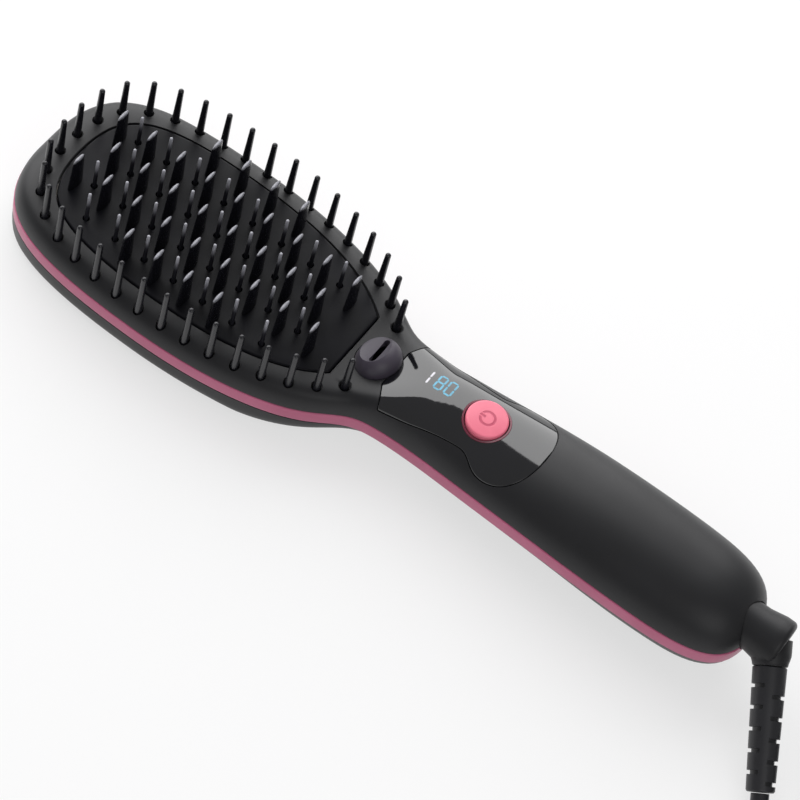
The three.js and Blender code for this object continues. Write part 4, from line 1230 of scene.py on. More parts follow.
    def screws(self) -> None:
        """Build the two screws with a cross recess in their heads."""
        radius, height = self.screw_head
        shank, length = self.screw_shank
        tip, point = self.screw_point
        end = height + length + point
        profile = [(radius - inset, rise) for inset, rise in self.screw_edge]
        profile += [(radius, height), (shank, height), (shank, height + length), (tip, end)]
        slim, wide = self.screw_cross
        for number, x in enumerate(self.screw_x, 1):
            name = f"screw_{number}"
            place = standing(x, 0, BODY.keel_at(x) + self.screw_sink)
            screw = self.bench.form(name, turned(place, capped(profile), 40))
            arms = [boxed(place, (*arm, height)) for arm in ((slim, wide), (wide, slim))]
            cross = [self.bench.form(name + "_arm", arm) for arm in arms]
            made = carved(screw, cross, Cut.TAKE_AWAY)
            self.bench.fit(made, "body", Finishes.STEEL, "steel", f"housing_{name}")

    def build(self) -> None:
        """Build the shells, the band and the screws."""
        self.upper()
        self.rear()
        self.band()
        self.screws()


# Bristles and heated plate


@dataclass(frozen=True)
class Stud:
    """Tapered pin or blade that ends in a rounded crest, laid on points by a geometry recipe.

    Pairs are thickness and width; keep is the share of them that is left at the very tip.
    """

    name: str
    base: Pair
    tip: Pair
    length: float
    crest: float
    keep: Pair
    sides: int
    rows: int = 10
    taper: float = 0.4
    round_over: float = 1.45

    def lay(self, bench: Bench, places: Sequence[Point], finish: Finish) -> bpy.types.Object:
        """Set one stud on every place.

        Args:
            bench: where the pieces are made.
            places: feet of the studs.
            finish: their finish.

        Returns:
            All the studs as one mesh.
        """
        recipe = Recipe(self.name)
        length = recipe.size("Length", self.length * MM)
        crest = recipe.size("Crest", self.crest * MM)
        sides = recipe.size("Sides", self.sides)
        form, x, y, share = recipe.turned(sides, self.rows)
        body = (share / self.taper).within()
        angle = ((share - self.taper) / (1 - self.taper)).within() * self.round_over
        height = body * (length - crest) + crest * angle.sine()
        drawn = 1 - angle.cosine()
        spread = []
        labels = ("Thickness", "Width")
        for label, base, tip, keep in zip(labels, self.base, self.tip, self.keep):
            foot = recipe.size(label + " at the foot", base * MM)
            head = recipe.size(label + " at the crest", tip * MM)
            spread.append((foot + (head - foot) * body) * (1 - drawn * (1 - keep)))
        shaped = recipe.shaped(form, x * spread[0], y * spread[1], height)
        recipe.finish(recipe.repeat(shaped), bench.finishes.get(finish))
        return recipe.lay(bench.marks(self.name + "_feet", places))


@dataclass
class BristleRing:
    """Cool outer pins in their sockets, on the strip that carries them."""

    bench: Bench
    pin: Stud = Stud("ring_pins", (1.5, 1.5), (1.0, 1.0), 24.9, 0.95, (0.0, 0.0), 18)
    pins_a_side: int = 17
    first_pin: float = 0.5
    pin_root: float = 1.0
    strip_top: float = 17.6
    strip_thick: float = 2.0
    strip_half: float = 1.7
    strip_set: float = 0.3

    @staticmethod
    def line() -> Line:
        """Return the line that the pins stand on, on one side."""
        curves = (
            ((-54.3, 0.0), (-54.3, 27.0), (-40.0, 35.8), (2.0, 35.8)),
            ((2.0, 35.8), (34.0, 35.8), (59.5, 30.0), (73.0, 15.0)),
        )
        return Line.through(curves, 24)

    @classmethod
    def places(cls) -> list[Pair]:
        """Return the feet of all the pins."""
        side = cls.line().evenly(cls.pins_a_side, cls.first_pin)
        return [(x, y * mirror) for x, y in side for mirror in (1, -1)]

    def build(self) -> None:
        """Build the pins and their strip."""
        foot = self.strip_top - self.pin_root
        pins = self.pin.lay(self.bench, [(x, y, foot) for x, y in self.places()], Finishes.NYLON)
        self.bench.fit(pins, "body", Finishes.NYLON, "black_nylon", "bristle_ring")
        middle = self.line().inset(self.strip_set)
        edges = [middle.inset(shift).pairs for shift in (-self.strip_half, self.strip_half)]
        both = [list(reversed([(x, -y) for x, y in edge[1:]])) + edge for edge in edges]
        low, high = self.strip_top - self.strip_thick, self.strip_top
        rings = [[(*a, low), (*b, low), (*b, high), (*a, high)] for a, b in zip(*both)]
        strip = self.bench.form("ring_strip", lofted(rings))
        self.bench.fit(strip, "body", Finishes.NYLON, "black_nylon", "bristle_ring")


@dataclass
class HeatedPlate:
    """Coated plate with staggered rows of blades, and the comb of slim pins under it.

    Pairs of the rim are how far it is drawn in and its fall; those of a hole are radius and rise.
    """

    bench: Bench
    top: float = 24.5
    thick: float = 3.2
    rim_edge: tuple[Pair, ...] = ((0, 0.7), (0.1, 0.3), (0.35, 0.08), (0.75, 0))
    ring_distance: float = 5.6
    end_x: float = 66.0
    blade: Stud = Stud("heater_blades", (1.3, 3.8), (0.78, 2.95), 15.1, 1.25, (0.25, 0.55), 16)
    slim: Stud = Stud("slim_pins", (0.8, 0.8), (0.56, 0.56), 18.9, 0.55, (0.0, 0.0), 12)
    blade_root: float = 0.1
    blade_margin: float = 4.6
    slim_margin: float = 3.4
    row_pitch: float = 12.0
    column_pitch: float = 12.2
    column_start: float = -48.0
    rows: int = 5
    slim_shift: Pair = (5.3, 3.6)
    comb_x: Pair = (-38.6, 51.6)
    comb_inset: float = 1.8
    rail: Pair = (3.2, 1.8)
    rail_gap: float = 0.3
    rail_step: float = 0.5
    hole_edge: tuple[Pair, ...] = ((1.1, -4.5), (1.1, -0.22), (1.35, 0.05), (1.35, 1.5))

    @classmethod
    def edge(cls, growth: float) -> Line:
        """Return one side of the plate's outline, grown by a distance."""
        line = BristleRing.line().inset(cls.ring_distance - growth)
        end = cls.end_x + growth
        kept = [(x, y) for x, y in line.pairs if x < end]
        return Line(kept + [(end, line.at(end))])

    @classmethod
    def outline(cls, growth: float) -> Outline:
        """Return the plate's whole outline, grown by a distance."""
        return cls.edge(growth).outline()

    def lattice(self, shift: Pair, margin: float) -> list[Pair]:
        """Return staggered places that keep a margin inside the plate.

        Args:
            shift: how far the whole pattern is moved.
            margin: least distance from the plate's edge.

        Returns:
            The places.
        """
        edge = self.edge(0)
        tip, end = edge.places[0] + margin, edge.places[-1] - margin
        places = []
        for row in range(self.rows):
            y = (row - (self.rows - 1) / 2) * self.row_pitch + shift[1]
            x = self.column_start + shift[0] + (self.column_pitch / 2 if row % 2 else 0)
            while x < end:
                if x > tip and abs(y) < edge.at(x) - margin:
                    places.append((x, y))
                x += self.column_pitch
        return places

    def plate(self, slim: Sequence[Pair]) -> None:
        """Build the plate with its rounded rim and the holes of the slim pins."""
        levels = [(0, self.top - self.thick)] + [(inset, self.top - fall) for inset, fall in self.rim_edge]
        plate = self.bench.form("coated_plate", slab(self.outline(0), levels))
        profile = capped([(radius, self.top + rise) for radius, rise in self.hole_edge])
        holes = [turned(standing(x, y), profile, 20) for x, y in slim]
        made = carved(plate, [self.bench.form("slim_holes", *holes)], Cut.TAKE_AWAY)
        self.bench.fit(made, "body", Finishes.CERAMIC_COAT, "ceramic_black", "heater_plate", crease=40)

    def comb(self, slim: Sequence[Pair]) -> None:
        """Build the slim pins and the rails that join them under the plate."""
        width, thick = self.rail
        foot = self.top - self.thick - self.rail_gap - thick / 2
        pins = self.slim.lay(self.bench, [(x, y, foot) for x, y in slim], Finishes.SLIM)
        self.bench.fit(pins, "body", Finishes.SLIM, "black_nylon", "pin_comb")
        heights = sorted({y for _, y in slim})
        low, high = self.comb_x
        edge = self.edge(-self.comb_inset)
        steps = [low + self.rail_step * step for step in range(int((high - low) / self.rail_step))]
        bars = []
        for y in heights:
            reach = [x for x in steps if edge.at(x) > abs(y) + width / 2]
            middle = standing((reach[0] + reach[-1]) / 2, y, foot)
            bars.append(boxed(middle, (reach[-1] - reach[0], width, thick)))
        span, centre = heights[-1] - heights[0] + width, (heights[0] + heights[-1]) / 2
        for x in (low + width / 2, high - width / 2):
            kept = min(span, 2 * (edge.at(x) - abs(centre)))
            bars.append(boxed(standing(x, centre, foot), (width, kept, thick)))
        rails = [self.bench.form("comb_rails", bars[0])]
        others = [self.bench.form("comb_rail", bar) for bar in bars[1:]]
        made = carved(rails[0], others, Cut.JOIN)
        self.bench.fit(made, "body", Finishes.NYLON, "black_nylon", "pin_comb")

    def build(self) -> None:
        """Build the plate, its blades and the comb."""
        low, high = self.comb_x
        slim = [(x, y) for x, y in self.lattice(self.slim_shift, self.slim_margin) if low < x < high]
        foot = self.top - self.blade_root
        feet = [(x, y, foot) for x, y in self.lattice((0.0, 0.0), self.blade_margin)]
        blades = self.blade.lay(self.bench, feet, Finishes.BLADE)
        self.bench.fit(blades, "body", Finishes.BLADE, "ceramic_black", "heater_plate")
        self.plate(slim)
        self.comb(slim)


# Ion outlet, control panel and button


@dataclass
class IonOutlet:
    """Oval hood with a dished mouth and a slot, between the plate and the panel."""

    bench: Bench
    middle_x: float = 75.9
    half: Pair = (7.7, 8.4)
    foot: float = 20.6
    shoulder: float = 23.5
    crown: float = 32.6
    curve: float = 2.5
    lean: float = 0.8
    wall: float = 2.6
    room_foot: float = 10.0
    mouth: Point = (73.7, 0.0, 31.5)
    tilt: float = -30.0
    dish: Point = (6.3, 8.2, 1.8)
    slot: Pair = (2.5, 10.6)
    slot_heights: Pair = (-9.0, 5.0)
    slot_shift: float = 0.9

    @classmethod
    def dome(cls, growth: float, root: float, steps: int = 28, points: int = 96) -> Form:
        """Return the outer form of the hood.

        Args:
            growth: how far it is moved outwards.
            root: height of its foot.
            steps: rings up its side.
            points: points round it.

        Returns:
            Points and faces.
        """
        top = cls.crown + min(growth, 0)
        turns = [math.tau * step / points for step in range(points)]

        def oval(share: float, drawn: float, z: float) -> Ring:
            """Return one level of the hood."""
            middle = cls.middle_x + share * cls.lean
            wide, deep = ((half + growth) * drawn for half in cls.half)
            return [(middle + wide * math.cos(t), deep * math.sin(t), z) for t in turns]

        rings = [oval(0, 1, root)]
        for step in range(steps):
            share = math.sin(math.pi / 2 * step / steps)
            drawn = (1 - share**cls.curve) ** (1 / cls.curve)
            rings.append(oval(share, drawn, blended(cls.shoulder, top, share)))
        return lofted(rings, None, (cls.middle_x + cls.lean, 0.0, top))

    def build(self) -> None:
        """Build the hood and cut its room, dish and slot."""
        bench = self.bench
        hood = bench.form("ion_hood", self.dome(0, self.foot))
        place = standing(*self.mouth) @ Matrix.Rotation(math.radians(self.tilt), 4, "Y")
        turns = [math.pi * step / 24 for step in range(1, 24)]
        bowl = [(0, -1), *((math.sin(t), -math.cos(t)) for t in turns), (0, 1)]
        dish = bench.form("dish", turned(place @ Matrix.Diagonal((*self.dish, 1)), bowl, 72))
        across, along = self.slot[0] / 2, (self.slot[1] - self.slot[0]) / 2
        turns = [math.pi * step / 12 for step in range(13)]
        end = [(across * math.cos(t), along + across * math.sin(t)) for t in turns]
        outline = [(x + self.slot_shift, y) for x, y in end + [(-x, -y) for x, y in end]]
        rings = [[place @ Vector((x, y, height)) for x, y in outline] for height in self.slot_heights]
        slot = bench.form("slot", lofted(rings))
        room = bench.form("room", self.dome(-self.wall, self.room_foot))
        made = carved(hood, [room, dish, slot], Cut.TAKE_AWAY)
        bench.fit(made, "body", Finishes.LIT_HOOD, "soft_touch", "ion_outlet", crease=32)


@dataclass
class ControlPanel:
    """Gloss inlay of the neck, its display digits and the maroon rim round the button, which paints the
    shade of the button's side wall and gap.
    """

    bench: Bench
    button_x: float = Layout.button_x
    front_x: float = 82.5
    front_steps: Point = (0.05, 0.15, 0.3)
    thick: float = 1.4
    edge_radius: float = 0.3
    tool_heights: Pair = (40.0, 60.0)
    notch_gap: float = 0.25
    notch_foot: float = 12.0
    hole: float = 7.6
    rim_edge: tuple[Pair, ...] = ((7.62, -1.2), (8.3, -1.2), (8.3, 0.06), (8.18, 0.16), (7.62, 0.1))
    rim_gap: float = 0.05
    digit_x: tuple[tuple[str, float], ...] = (("1", 92.8), ("8", 98.1), ("0", 102.0))
    digit_half: Pair = (1.25, 2.9)
    digit_y: float = 2.4
    digit_lift: Pair = (-0.1, 0.035)
    stroke: float = 0.68
    stroke_gap: float = 0.62

    @staticmethod
    def line() -> Line:
        """Return one side of the panel's outline."""
        curves = (
            ((82.5, 7.6), (82.5, 7.6), (86.6, 15.4), (86.6, 15.4)),
            ((86.6, 15.4), (96.6, 14.4), (108.0, 12.4), (116.0, 12.4)),
            ((116.0, 12.4), (121.0, 12.4), (122.0, 16.5), (129.0, 16.5)),
            ((129.0, 16.5), (136.0, 16.5), (141.3, 12.4), (141.3, 0.0)),
        )
        return Line.through(curves, 24)

    @classmethod
    def inlay(cls, inset: float, depth: float, rim: float | None, across: int = 48) -> Form:
        """Return a form over the panel's outline that follows the top of the body.

        Args:
            inset: how far its outline is drawn in.
            depth: how deep its underside lies.
            rim: radius of its rounded upper edge, or none for a tool that rises above the body.
            across: points across it.

        Returns:
            Points and faces.
        """
        side = cls.line().inset(inset).pairs
        first, end = cls.front_x + inset, side[-1][0]
        line = Line([(first, side[0][1]), *side[1:]])
        stations = set(line.evenly(120, 0))
        stations |= {(first + reach, line.at(first + reach)) for reach in cls.front_steps}
        shares = [math.sin(math.pi / 2 * (2 * step / across - 1)) for step in range(across + 1)]
        rings = []
        for x, half in sorted(stations)[:-1]:
            upper, lower = [], []
            for share in shares:
                y = half * share
                if rim is None:
                    high = cls.tool_heights[1]
                else:
                    reach = min(half - abs(y), x - first, end - x)
                    drop = max(1 - reach / rim, 0.0)
                    high = BODY.top_at(x, y) - rim * (1 - math.sqrt(max(1 - drop * drop, 0.0)))
                upper.append((x, y, high))
                lower.append((x, y, BODY.top_at(x, y, depth)))
            rings.append(upper + list(reversed(lower)))
        middle = cls.tool_heights[0] if rim is None else BODY.top_at(end, 0) - depth / 2
        return lofted(rings, None, (end, 0.0, middle))

    def digits(self) -> None:
        """Build the lit segments of the display."""
        wide, tall = self.digit_half
        bars = {
            "top": ((0, tall), True), "middle": ((0, 0), True), "bottom": ((0, -tall), True),
            "upper_left": ((-wide, tall / 2), False), "upper_right": ((wide, tall / 2), False),
            "lower_left": ((-wide, -tall / 2), False), "lower_right": ((wide, -tall / 2), False),
        }
        lit = {"1": {"upper_right", "lower_right"}, "8": set(bars), "0": set(bars) - {"middle"}}
        for number, (glyph, middle) in enumerate(self.digit_x):
            forms = []
            for bar in sorted(lit[glyph]):
                (x, y), level = bars[bar]
                run = (2 * wide if level else tall) / 2 - self.stroke_gap * self.stroke
                tip = self.stroke / 2
                ends = [(-run - tip, 0), (-run, tip), (run, tip), (run + tip, 0), (run, -tip), (-run, -tip)]
                laid = ends if level else [(b, a) for a, b in ends]
                flat = [(middle + x + a, self.digit_y + y + b) for a, b in laid]
                rings = [[(a, b, BODY.top_at(a, b) + lift) for a, b in flat] for lift in self.digit_lift]
                forms.append(lofted(rings))
            finish = Finishes.TEAL_GLOW if number else Finishes.WHITE_GLOW
            made = self.bench.form(f"display_digit_{number + 1}", *forms)
            self.bench.fit(made, "body", finish, "panel_gloss")

    def button_shade_rim(self) -> None:
        """Build the thin maroon rim round the button's hole, a ring of painted shade for the button's side
        wall and gap.
        """
        rings = []
        for turn in (math.tau * step / 96 for step in range(96)):
            ring = []
            for radius, lift in self.rim_edge:
                x, y = self.button_x + radius * math.cos(turn), radius * math.sin(turn)
                ring.append((x, y, BODY.top_at(x, y) + lift))
            rings.append(ring)
        made = self.bench.form("button_shade_rim", hooped(rings, len(rings)))
        self.bench.fit(made, "body", Finishes.SHADE_RIM, "pink_trim")

    def build(self) -> None:
        """Build the inlay, the digits and the rim of painted shade."""
        bench = self.bench
        panel = bench.form("gloss_panel", self.inlay(0, self.thick, self.edge_radius))
        bore = rod(self.rim_edge[1][0] + self.rim_gap, *Housings.bore_heights)
        hole = bench.form("panel_hole", turned(standing(self.button_x), bore, 96))
        notch = bench.form("hood_notch", IonOutlet.dome(self.notch_gap, self.notch_foot))
        made = carved(panel, [hole, notch], Cut.TAKE_AWAY)
        bench.fit(made, "body", Finishes.PANEL, "panel_gloss", "control_panel", crease=50)
        self.digits()
        self.button_shade_rim()


@dataclass
class PowerButton:
    """Round button with a rolled edge, which presses into the handle."""

    bench: Bench
    x: float = Layout.button_x
    radius: float = 7.25
    rise: float = 1.3
    depth: float = 5.2
    stem: Pair = (1.7, 1.4)
    edge: float = 0.75
    foot_edge: float = 0.15
    crown: float = 0.25
    crown_at: tuple[float, ...] = (0.85, 0.65, 0.45, 0.25, 0.1)

    def build(self) -> None:
        """Build the button."""
        low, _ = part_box("power_button")
        top = BODY.top_at(self.x, 0) + self.rise
        stem_end = low.z / MM
        body = top - self.depth
        reach, start = self.radius - self.edge, top - self.crown
        profile = [(0, stem_end), (self.stem[0], stem_end), (self.stem[0], body)]
        profile += [(self.radius - self.foot_edge, body), (self.radius, body + self.foot_edge)]
        profile += rounded((reach, start - self.edge), self.edge, 0, 8)
        profile += [(reach * share, top - self.crown * share * share) for share in self.crown_at]
        profile.append((0, top))
        place = standing(self.x)
        made = self.bench.form("pink_button", turned(place, profile, 96))
        middle = self.bench.layout.point(self.x, 0, 0)
        finish = ButtonGloss("button_pink", (middle.x, middle.y))
        self.bench.fit(made, "button", finish, "pink_button", "power_button", crease=45)


# Swivel, guard and mains lead


@dataclass
class Route:
    """Places of the elbow, the guard, the cord, its coil and the plug."""

    seat_gap: float = 0.3
    elbow_x: float = 233.3
    swivel_height: float = Housings.swivel_height
    leg_heading: float = -56.3
    leg_length: float = 8.5
    guard_length: float = 40.0
    guard_end_height: float = 7.0
    landing: Pair = (9.0, 14.0)
    near: float = 0.35
    bend_radius: float = 26.0
    bend_steps: int = 12
    store_heading: float = 20.0
    cord_run: float = 40.0
    coil_inner: float = 23.5
    coil_pitch: float = 6.65
    coil_turnback: float = 0.05
    coil_turns: int = 4
    coil_rise: float = 6.5
    coil_height: float = 4.0
    coil_climb: float = 0.25
    coil_steps: int = 44
    coil_lead: float = 6.0
    tail_length: float = 26.0
    plug_height: float = 7.0

    def __post_init__(self) -> None:
        """Work out the directions and the corner points of the route."""
        heading, store = math.radians(self.leg_heading), math.radians(self.store_heading)
        reach = self.leg_length + self.seat_gap + self.guard_length
        fall = (self.swivel_height - self.guard_end_height) / reach
        self.ground = Vector((math.cos(heading), math.sin(heading), 0))
        self.along = self.ground * math.sqrt(1 - fall**2) - Vector((0, 0, fall))
        self.elbow = Vector((self.elbow_x, 0, self.swivel_height))
        self.guard_end = self.elbow + self.along * reach
        self.store = Vector((math.cos(store), math.sin(store), 0))
        start = self.level(self.guard_end, self.coil_height) + self.ground * self.landing[1]
        centre = start + self.left_of(heading) * self.bend_radius
        self.bend = []
        for step in range(self.bend_steps + 1):
            angle = blended(heading, store, step / self.bend_steps)
            self.bend.append(centre - self.left_of(angle) * self.bend_radius)
        beside = self.left_of(store)
        self.coil_outer = self.coil_inner + self.coil_pitch * self.coil_turns
        self.coil_centre = self.run_at(self.cord_run) + beside * self.coil_outer
        self.start_turn = math.atan2(-beside.y, -beside.x)
        self.path = self.line()

    @staticmethod
    def left_of(angle: float) -> Vector:
        """Return the level direction to the left of a heading."""
        return Vector((-math.sin(angle), math.cos(angle), 0))

    @staticmethod
    def level(point: Vector, height: float) -> Vector:
        """Return a point moved to a height."""
        return Vector((point.x, point.y, height))

    def run_at(self, distance: float) -> Vector:
        """Return a point of the straight run after the bend."""
        return self.bend[-1] + self.store * distance

    def coil_point(self, turn: float) -> Vector:
        """Return the centre line of the coil after a number of turns."""
        reach = turn - self.coil_turns
        back = math.hypot(reach, self.coil_turnback) - self.coil_turnback
        radius = self.coil_inner + self.coil_pitch * back
        angle = self.start_turn + math.tau * turn
        height = self.coil_height + self.coil_rise * smooth((-self.coil_climb, self.coil_climb), reach)
        away = Vector((math.cos(angle), math.sin(angle), 0)) * radius
        return self.level(self.coil_centre + away, height)

    def line(self) -> list[Vector]:
        """Return the whole centre line from the guard to the plug.

        Returns:
            Points of the free run, the coil and the tail, in layout millimetres.
        """
        start = self.guard_end + self.along * self.seat_gap
        landed = self.level(self.guard_end, self.coil_height + self.near) + self.ground * self.landing[0]
        free = [start, start + self.along * 3, landed, *self.bend]
        last = 2 * self.coil_turns
        steps = range(last * self.coil_steps + 1)
        coil = [self.coil_point(step / self.coil_steps) for step in steps]
        leads = [self.run_at(self.cord_run * share / 3) for share in (1, 2)]
        leads.append(coil[0] - self.store * self.coil_lead)
        ahead = self.coil_point(last + 1e-3) - self.coil_point(last - 1e-3)
        self.heading = Vector((ahead.x, ahead.y, 0)).normalized()
        out = coil[-1] + self.heading * self.coil_lead
        tail = []
        for share, lower in ((0.2, 0.0), (0.5, 0.5), (0.8, 1.0), (1.0, 1.0)):
            point = out + self.heading * (self.seat_gap + share * self.tail_length)
            tail.append(self.level(point, blended(out.z, self.plug_height, lower)))
        end = tail[-1] + self.heading * self.seat_gap
        turn = math.atan2(self.heading.y, self.heading.x)
        self.plug_place = standing(*end) @ Matrix.Rotation(turn, 4, "Z")
        return free + leads + coil + [out] + tail


@dataclass
class CordSwivel:
    """Elbow that turns in the handle's end, with the slotted guard of the cord.

    Pairs of the neck are its radius and place; those of the taper are how far it lies from the
    leg's end and its share of the way from the slim radius to the wide one.
    """

    bench: Bench
    route: Route
    slots: int = 5
    pitch: float = 6.9
    slot_width: float = 1.35
    slot_depth: Pair = (1.15, 0.95)
    slot_start: float = 5.6
    spine: float = 1.3
    guard_radii: Pair = (5.6, 4.6)
    guard_edges: Pair = (0.3, 0.6)
    neck: tuple[Pair, ...] = (
        (8, 204.45), (8, 207.65), (6, 207.65), (6, 215.35),
        (8, 215.35), (8, 227.5), (9, 233.3), (9, 235.9),
    )
    neck_round: float = 1.8
    leg_radii: Pair = (5.75, 6.7)
    leg_taper: tuple[Pair, ...] = (
        (4.4, 1.0), (3.4, 0.93), (2.2, 0.6), (1.2, 0.25), (0.3, 0.05), (0.0, -0.2),
    )

    def knuckle(self) -> None:
        """Build the elbow with its neck, flange and leg."""
        route, bench = self.route, self.bench
        radius, start = self.neck[-1]
        corner = (radius - self.neck_round, start)
        profile = capped([*self.neck, *rounded(corner, self.neck_round, 0, 8)[1:]])
        stub = bench.form("swivel_elbow", turned(lying(0, 0, route.swivel_height), profile, 64))
        leg_turn = Vector((0, 0, 1)).rotation_difference(route.along).to_matrix().to_4x4()
        place = standing(*route.elbow) @ leg_turn
        length, (slim, wide) = route.leg_length, self.leg_radii
        taper = [(blended(slim, wide, drawn), length - up) for up, drawn in self.leg_taper]
        leg = bench.form("elbow_leg", turned(place, capped([(wide, 0), *taper]), 48))
        made = carved(stub, [leg], Cut.JOIN)
        beyond = boxed(place @ standing(0, 0, length + 20), (40, 40, 40))
        cut = carved(made, [bench.form("beyond_leg", beyond)], Cut.TAKE_AWAY)
        bench.fit(cut, "swivel", Finishes.SOFT_TOUCH, "soft_touch", "swivel_knuckle", crease=32)

    def guard(self) -> None:
        """Build the guard and cut its slots from both sides in turn."""
        route, bench = self.route, self.bench
        side = Vector((1, 0, 0)).cross(route.along).cross(route.along).normalized()
        axes = Matrix((side, route.along.cross(side), route.along)).transposed().to_4x4()
        foot = route.elbow + route.along * (route.leg_length + route.seat_gap)
        place = standing(*foot) @ axes
        wide, slim = self.guard_radii
        length = route.guard_length
        near, far = self.guard_edges
        profile = [(wide - near, 0), (wide, near), (slim + 0.1, length - far)]
        profile += rounded((slim - far, length - far), far, 0, 4)
        blank = bench.form("slotted_guard", turned(place, capped(profile), 64))
        size = (2 * wide, 3 * wide, self.slot_width)
        cutters = []
        for sign, shift in ((1, 0.0), (-1, self.pitch / 2)):
            for number in range(self.slots):
                along = self.slot_start + shift + number * self.pitch + self.slot_width / 2
                centre = standing(sign * (self.spine + wide), 0, along)
                cutters.append(bench.form("guard_slot", boxed(place @ centre, size)))
        slotted = carved(blank, cutters, Cut.TAKE_AWAY)
        near, far = self.slot_depth
        profile = capped([(wide - near, 1), (slim - far, length - 1)])
        core = bench.form("guard_core", turned(place, profile, 64))
        made = carved(slotted, [core], Cut.JOIN)
        bench.fit(made, "swivel", Finishes.RUBBER, "dark_rubber", "cord_guard", crease=32)

    def build(self) -> None:
        """Build the elbow and the guard."""
        self.knuckle()
        self.guard()


@dataclass
class MainsLead:
    """Cord from the guard to the plug, wound in two layers and tied as for storage.

    The plug's key sections are a place along it, half its width and half its height.
    """

    bench: Bench
    route: Route
    radius: float = 3.0
    tie: Pair = (8.0, 0.6)
    tie_gap: float = 0.3
    tie_round: float = 1.2
    plug_key: tuple[Point, ...] = (
        (0, 4.2, 4.2), (11, 5.0, 4.6), (17, 10.5, 6.2), (25, 13, 6.8),
        (40, 12.4, 6.5), (45.5, 11.4, 5.8), (46, 10.8, 5.2),
    )
    grip_span: Pair = (19.0, 35.0)
    groove_pitch: float = 4.0
    groove_depth: float = 0.35
    squareness: float = 0.6
    pin_radius: float = 2.0
    pin_length: float = 19.0
    pin_spacing: float = 18.6
    pin_gap: float = 0.3
    pin_round: float = 0.8

    def cord(self) -> None:
        path = [self.bench.layout.point(*point) for point in self.route.path]
        made = self.bench.form("mains_cord", tube(self.route.path, self.radius))
        self.bench.fit(made, "body", Finishes.RUBBER, "dark_rubber", "cord", "cord_coil", "cord_tail")

    def cord_tie(self) -> None:
        """Build the tie round the bundle, with rounded corners."""
        route = self.route
        width, thick = self.tie
        reach = self.radius + self.tie_gap - self.tie_round
        inner, outer = route.coil_inner - reach, route.coil_outer + reach
        low, high = route.coil_height - reach, route.coil_height + route.coil_rise + reach
        turn = Matrix.Rotation(math.radians(route.store_heading), 4, "Z")
        place = standing(*route.level(route.coil_centre, 0)) @ turn
        forms = []
        for margin, half in ((thick, width / 2), (0.0, width)):
            profile = []
            for number, corner in enumerate(((outer, high), (inner, high), (inner, low), (outer, low))):
                profile += rounded(corner, self.tie_round + margin, 90 * number, 6)
            rings = [[place @ Vector((x, y, z)) for x, z in profile] for y in (-half, half)]
            forms.append(self.bench.form("cord_tie", lofted(rings)))
        made = carved(forms[0], [forms[1]], Cut.TAKE_AWAY)
        made.name = "cord_tie"
        self.bench.fit(made, "body", Finishes.RUBBER, "dark_rubber", "coil_tie")

    def plug(self) -> None:
        """Build the plug's body with its grip grooves, and its pins."""
        end, (first, last) = self.plug_key[-1][0], self.grip_span
        half, deep = (Line((key[0], key[axis]) for key in self.plug_key) for axis in (1, 2))
        turns = [math.tau * step / 48 for step in range(48)]
        rings = []
        for x in [end * step / 60 for step in range(60)] + [end - 0.5, end]:
            wave = 1 - math.cos(math.tau * (x - first) / self.groove_pitch)
            groove = self.groove_depth * wave if first < x < last else 0.0
            ring = []
            for pair in ((math.cos(turn), math.sin(turn)) for turn in turns):
                y, z = (math.copysign(abs(part) ** self.squareness, part) for part in pair)
                wide = half.at(x) - groove * abs(y) ** 6
                ring.append(self.route.plug_place @ Vector((x, wide * y, deep.at(x) * z)))
            rings.append(ring)
        body = self.bench.form("plug_housing", lofted(rings))
        self.bench.fit(body, "body", Finishes.RUBBER, "dark_rubber", "plug_body")
        radius, reach, edge = self.pin_radius, self.pin_length, self.pin_round
        tip = rounded((radius - edge, reach - edge), edge, 0)
        profile = [(radius, 0), (radius, reach - 1.5 * edge), *tip]
        pins = []
        for side in (1, -1):
            foot = lying(end + self.pin_gap, side * self.pin_spacing / 2)
            pins.append(turned(self.route.plug_place @ foot, capped(profile), 32))
        made = self.bench.form("plug_pins", *pins)
        self.bench.fit(made, "body", Finishes.STEEL, "steel", "plug_pin_1", "plug_pin_2")

    def build(self) -> None:
        """Build the tie and the plug, then the cord that they belong to."""
        self.cord_tie()
        self.plug()
        self.cord()


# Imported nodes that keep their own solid


def dress_nodes(nodes: dict[str, bpy.types.Object], bench: Bench) -> None:
    """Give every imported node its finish.

    Args:
        nodes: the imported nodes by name.
        bench: where the pieces are made.
    """
    chosen: dict[Finish, Sequence[str]] = {
        Finishes.SOFT_TOUCH: ("upper_housing", "rear_housing", "ion_outlet", "swivel_knuckle"),
        Finishes.TRIM: ("trim_band", "power_button"),
        Finishes.CERAMIC_COAT: ("heater_plate",),
        Finishes.NYLON: ("bristle_ring", "pin_comb", "ion_generator", "display_module", "tact_switch"),
        Finishes.PANEL: ("control_panel",),
        Finishes.RUBBER: ("cord_guard", "cord", "cord_coil", "cord_tail", "coil_tie", "plug_body"),
        Finishes.PALE: ("heater_frame", "switch_plunger", "swivel_bush"),
        Finishes.STONE: ("heating_element_1", "heating_element_2", "thermistor"),
        Finishes.BOARD: ("control_board",),
        Finishes.STEEL: ("heater_clamp", "clamp_screw_1", "clamp_screw_2", "thermal_fuse", "ion_needle"),
        Finishes.SCREW: ("board_screw_1", "board_screw_2", "housing_screw_1", "housing_screw_2"),
        Finishes.PLATED: ("plug_pin_1", "plug_pin_2"),
        Finishes.BRASS: ("contact_block",),
    }
    for finish, names in chosen.items():
        for name in names:
            mesh = nodes[name].data
            mesh.materials.clear()
            mesh.materials.append(bench.finishes.get(finish))
    LOG.info("%d packed nodes have their finish", sum(len(names) for names in chosen.values()))


# Studio


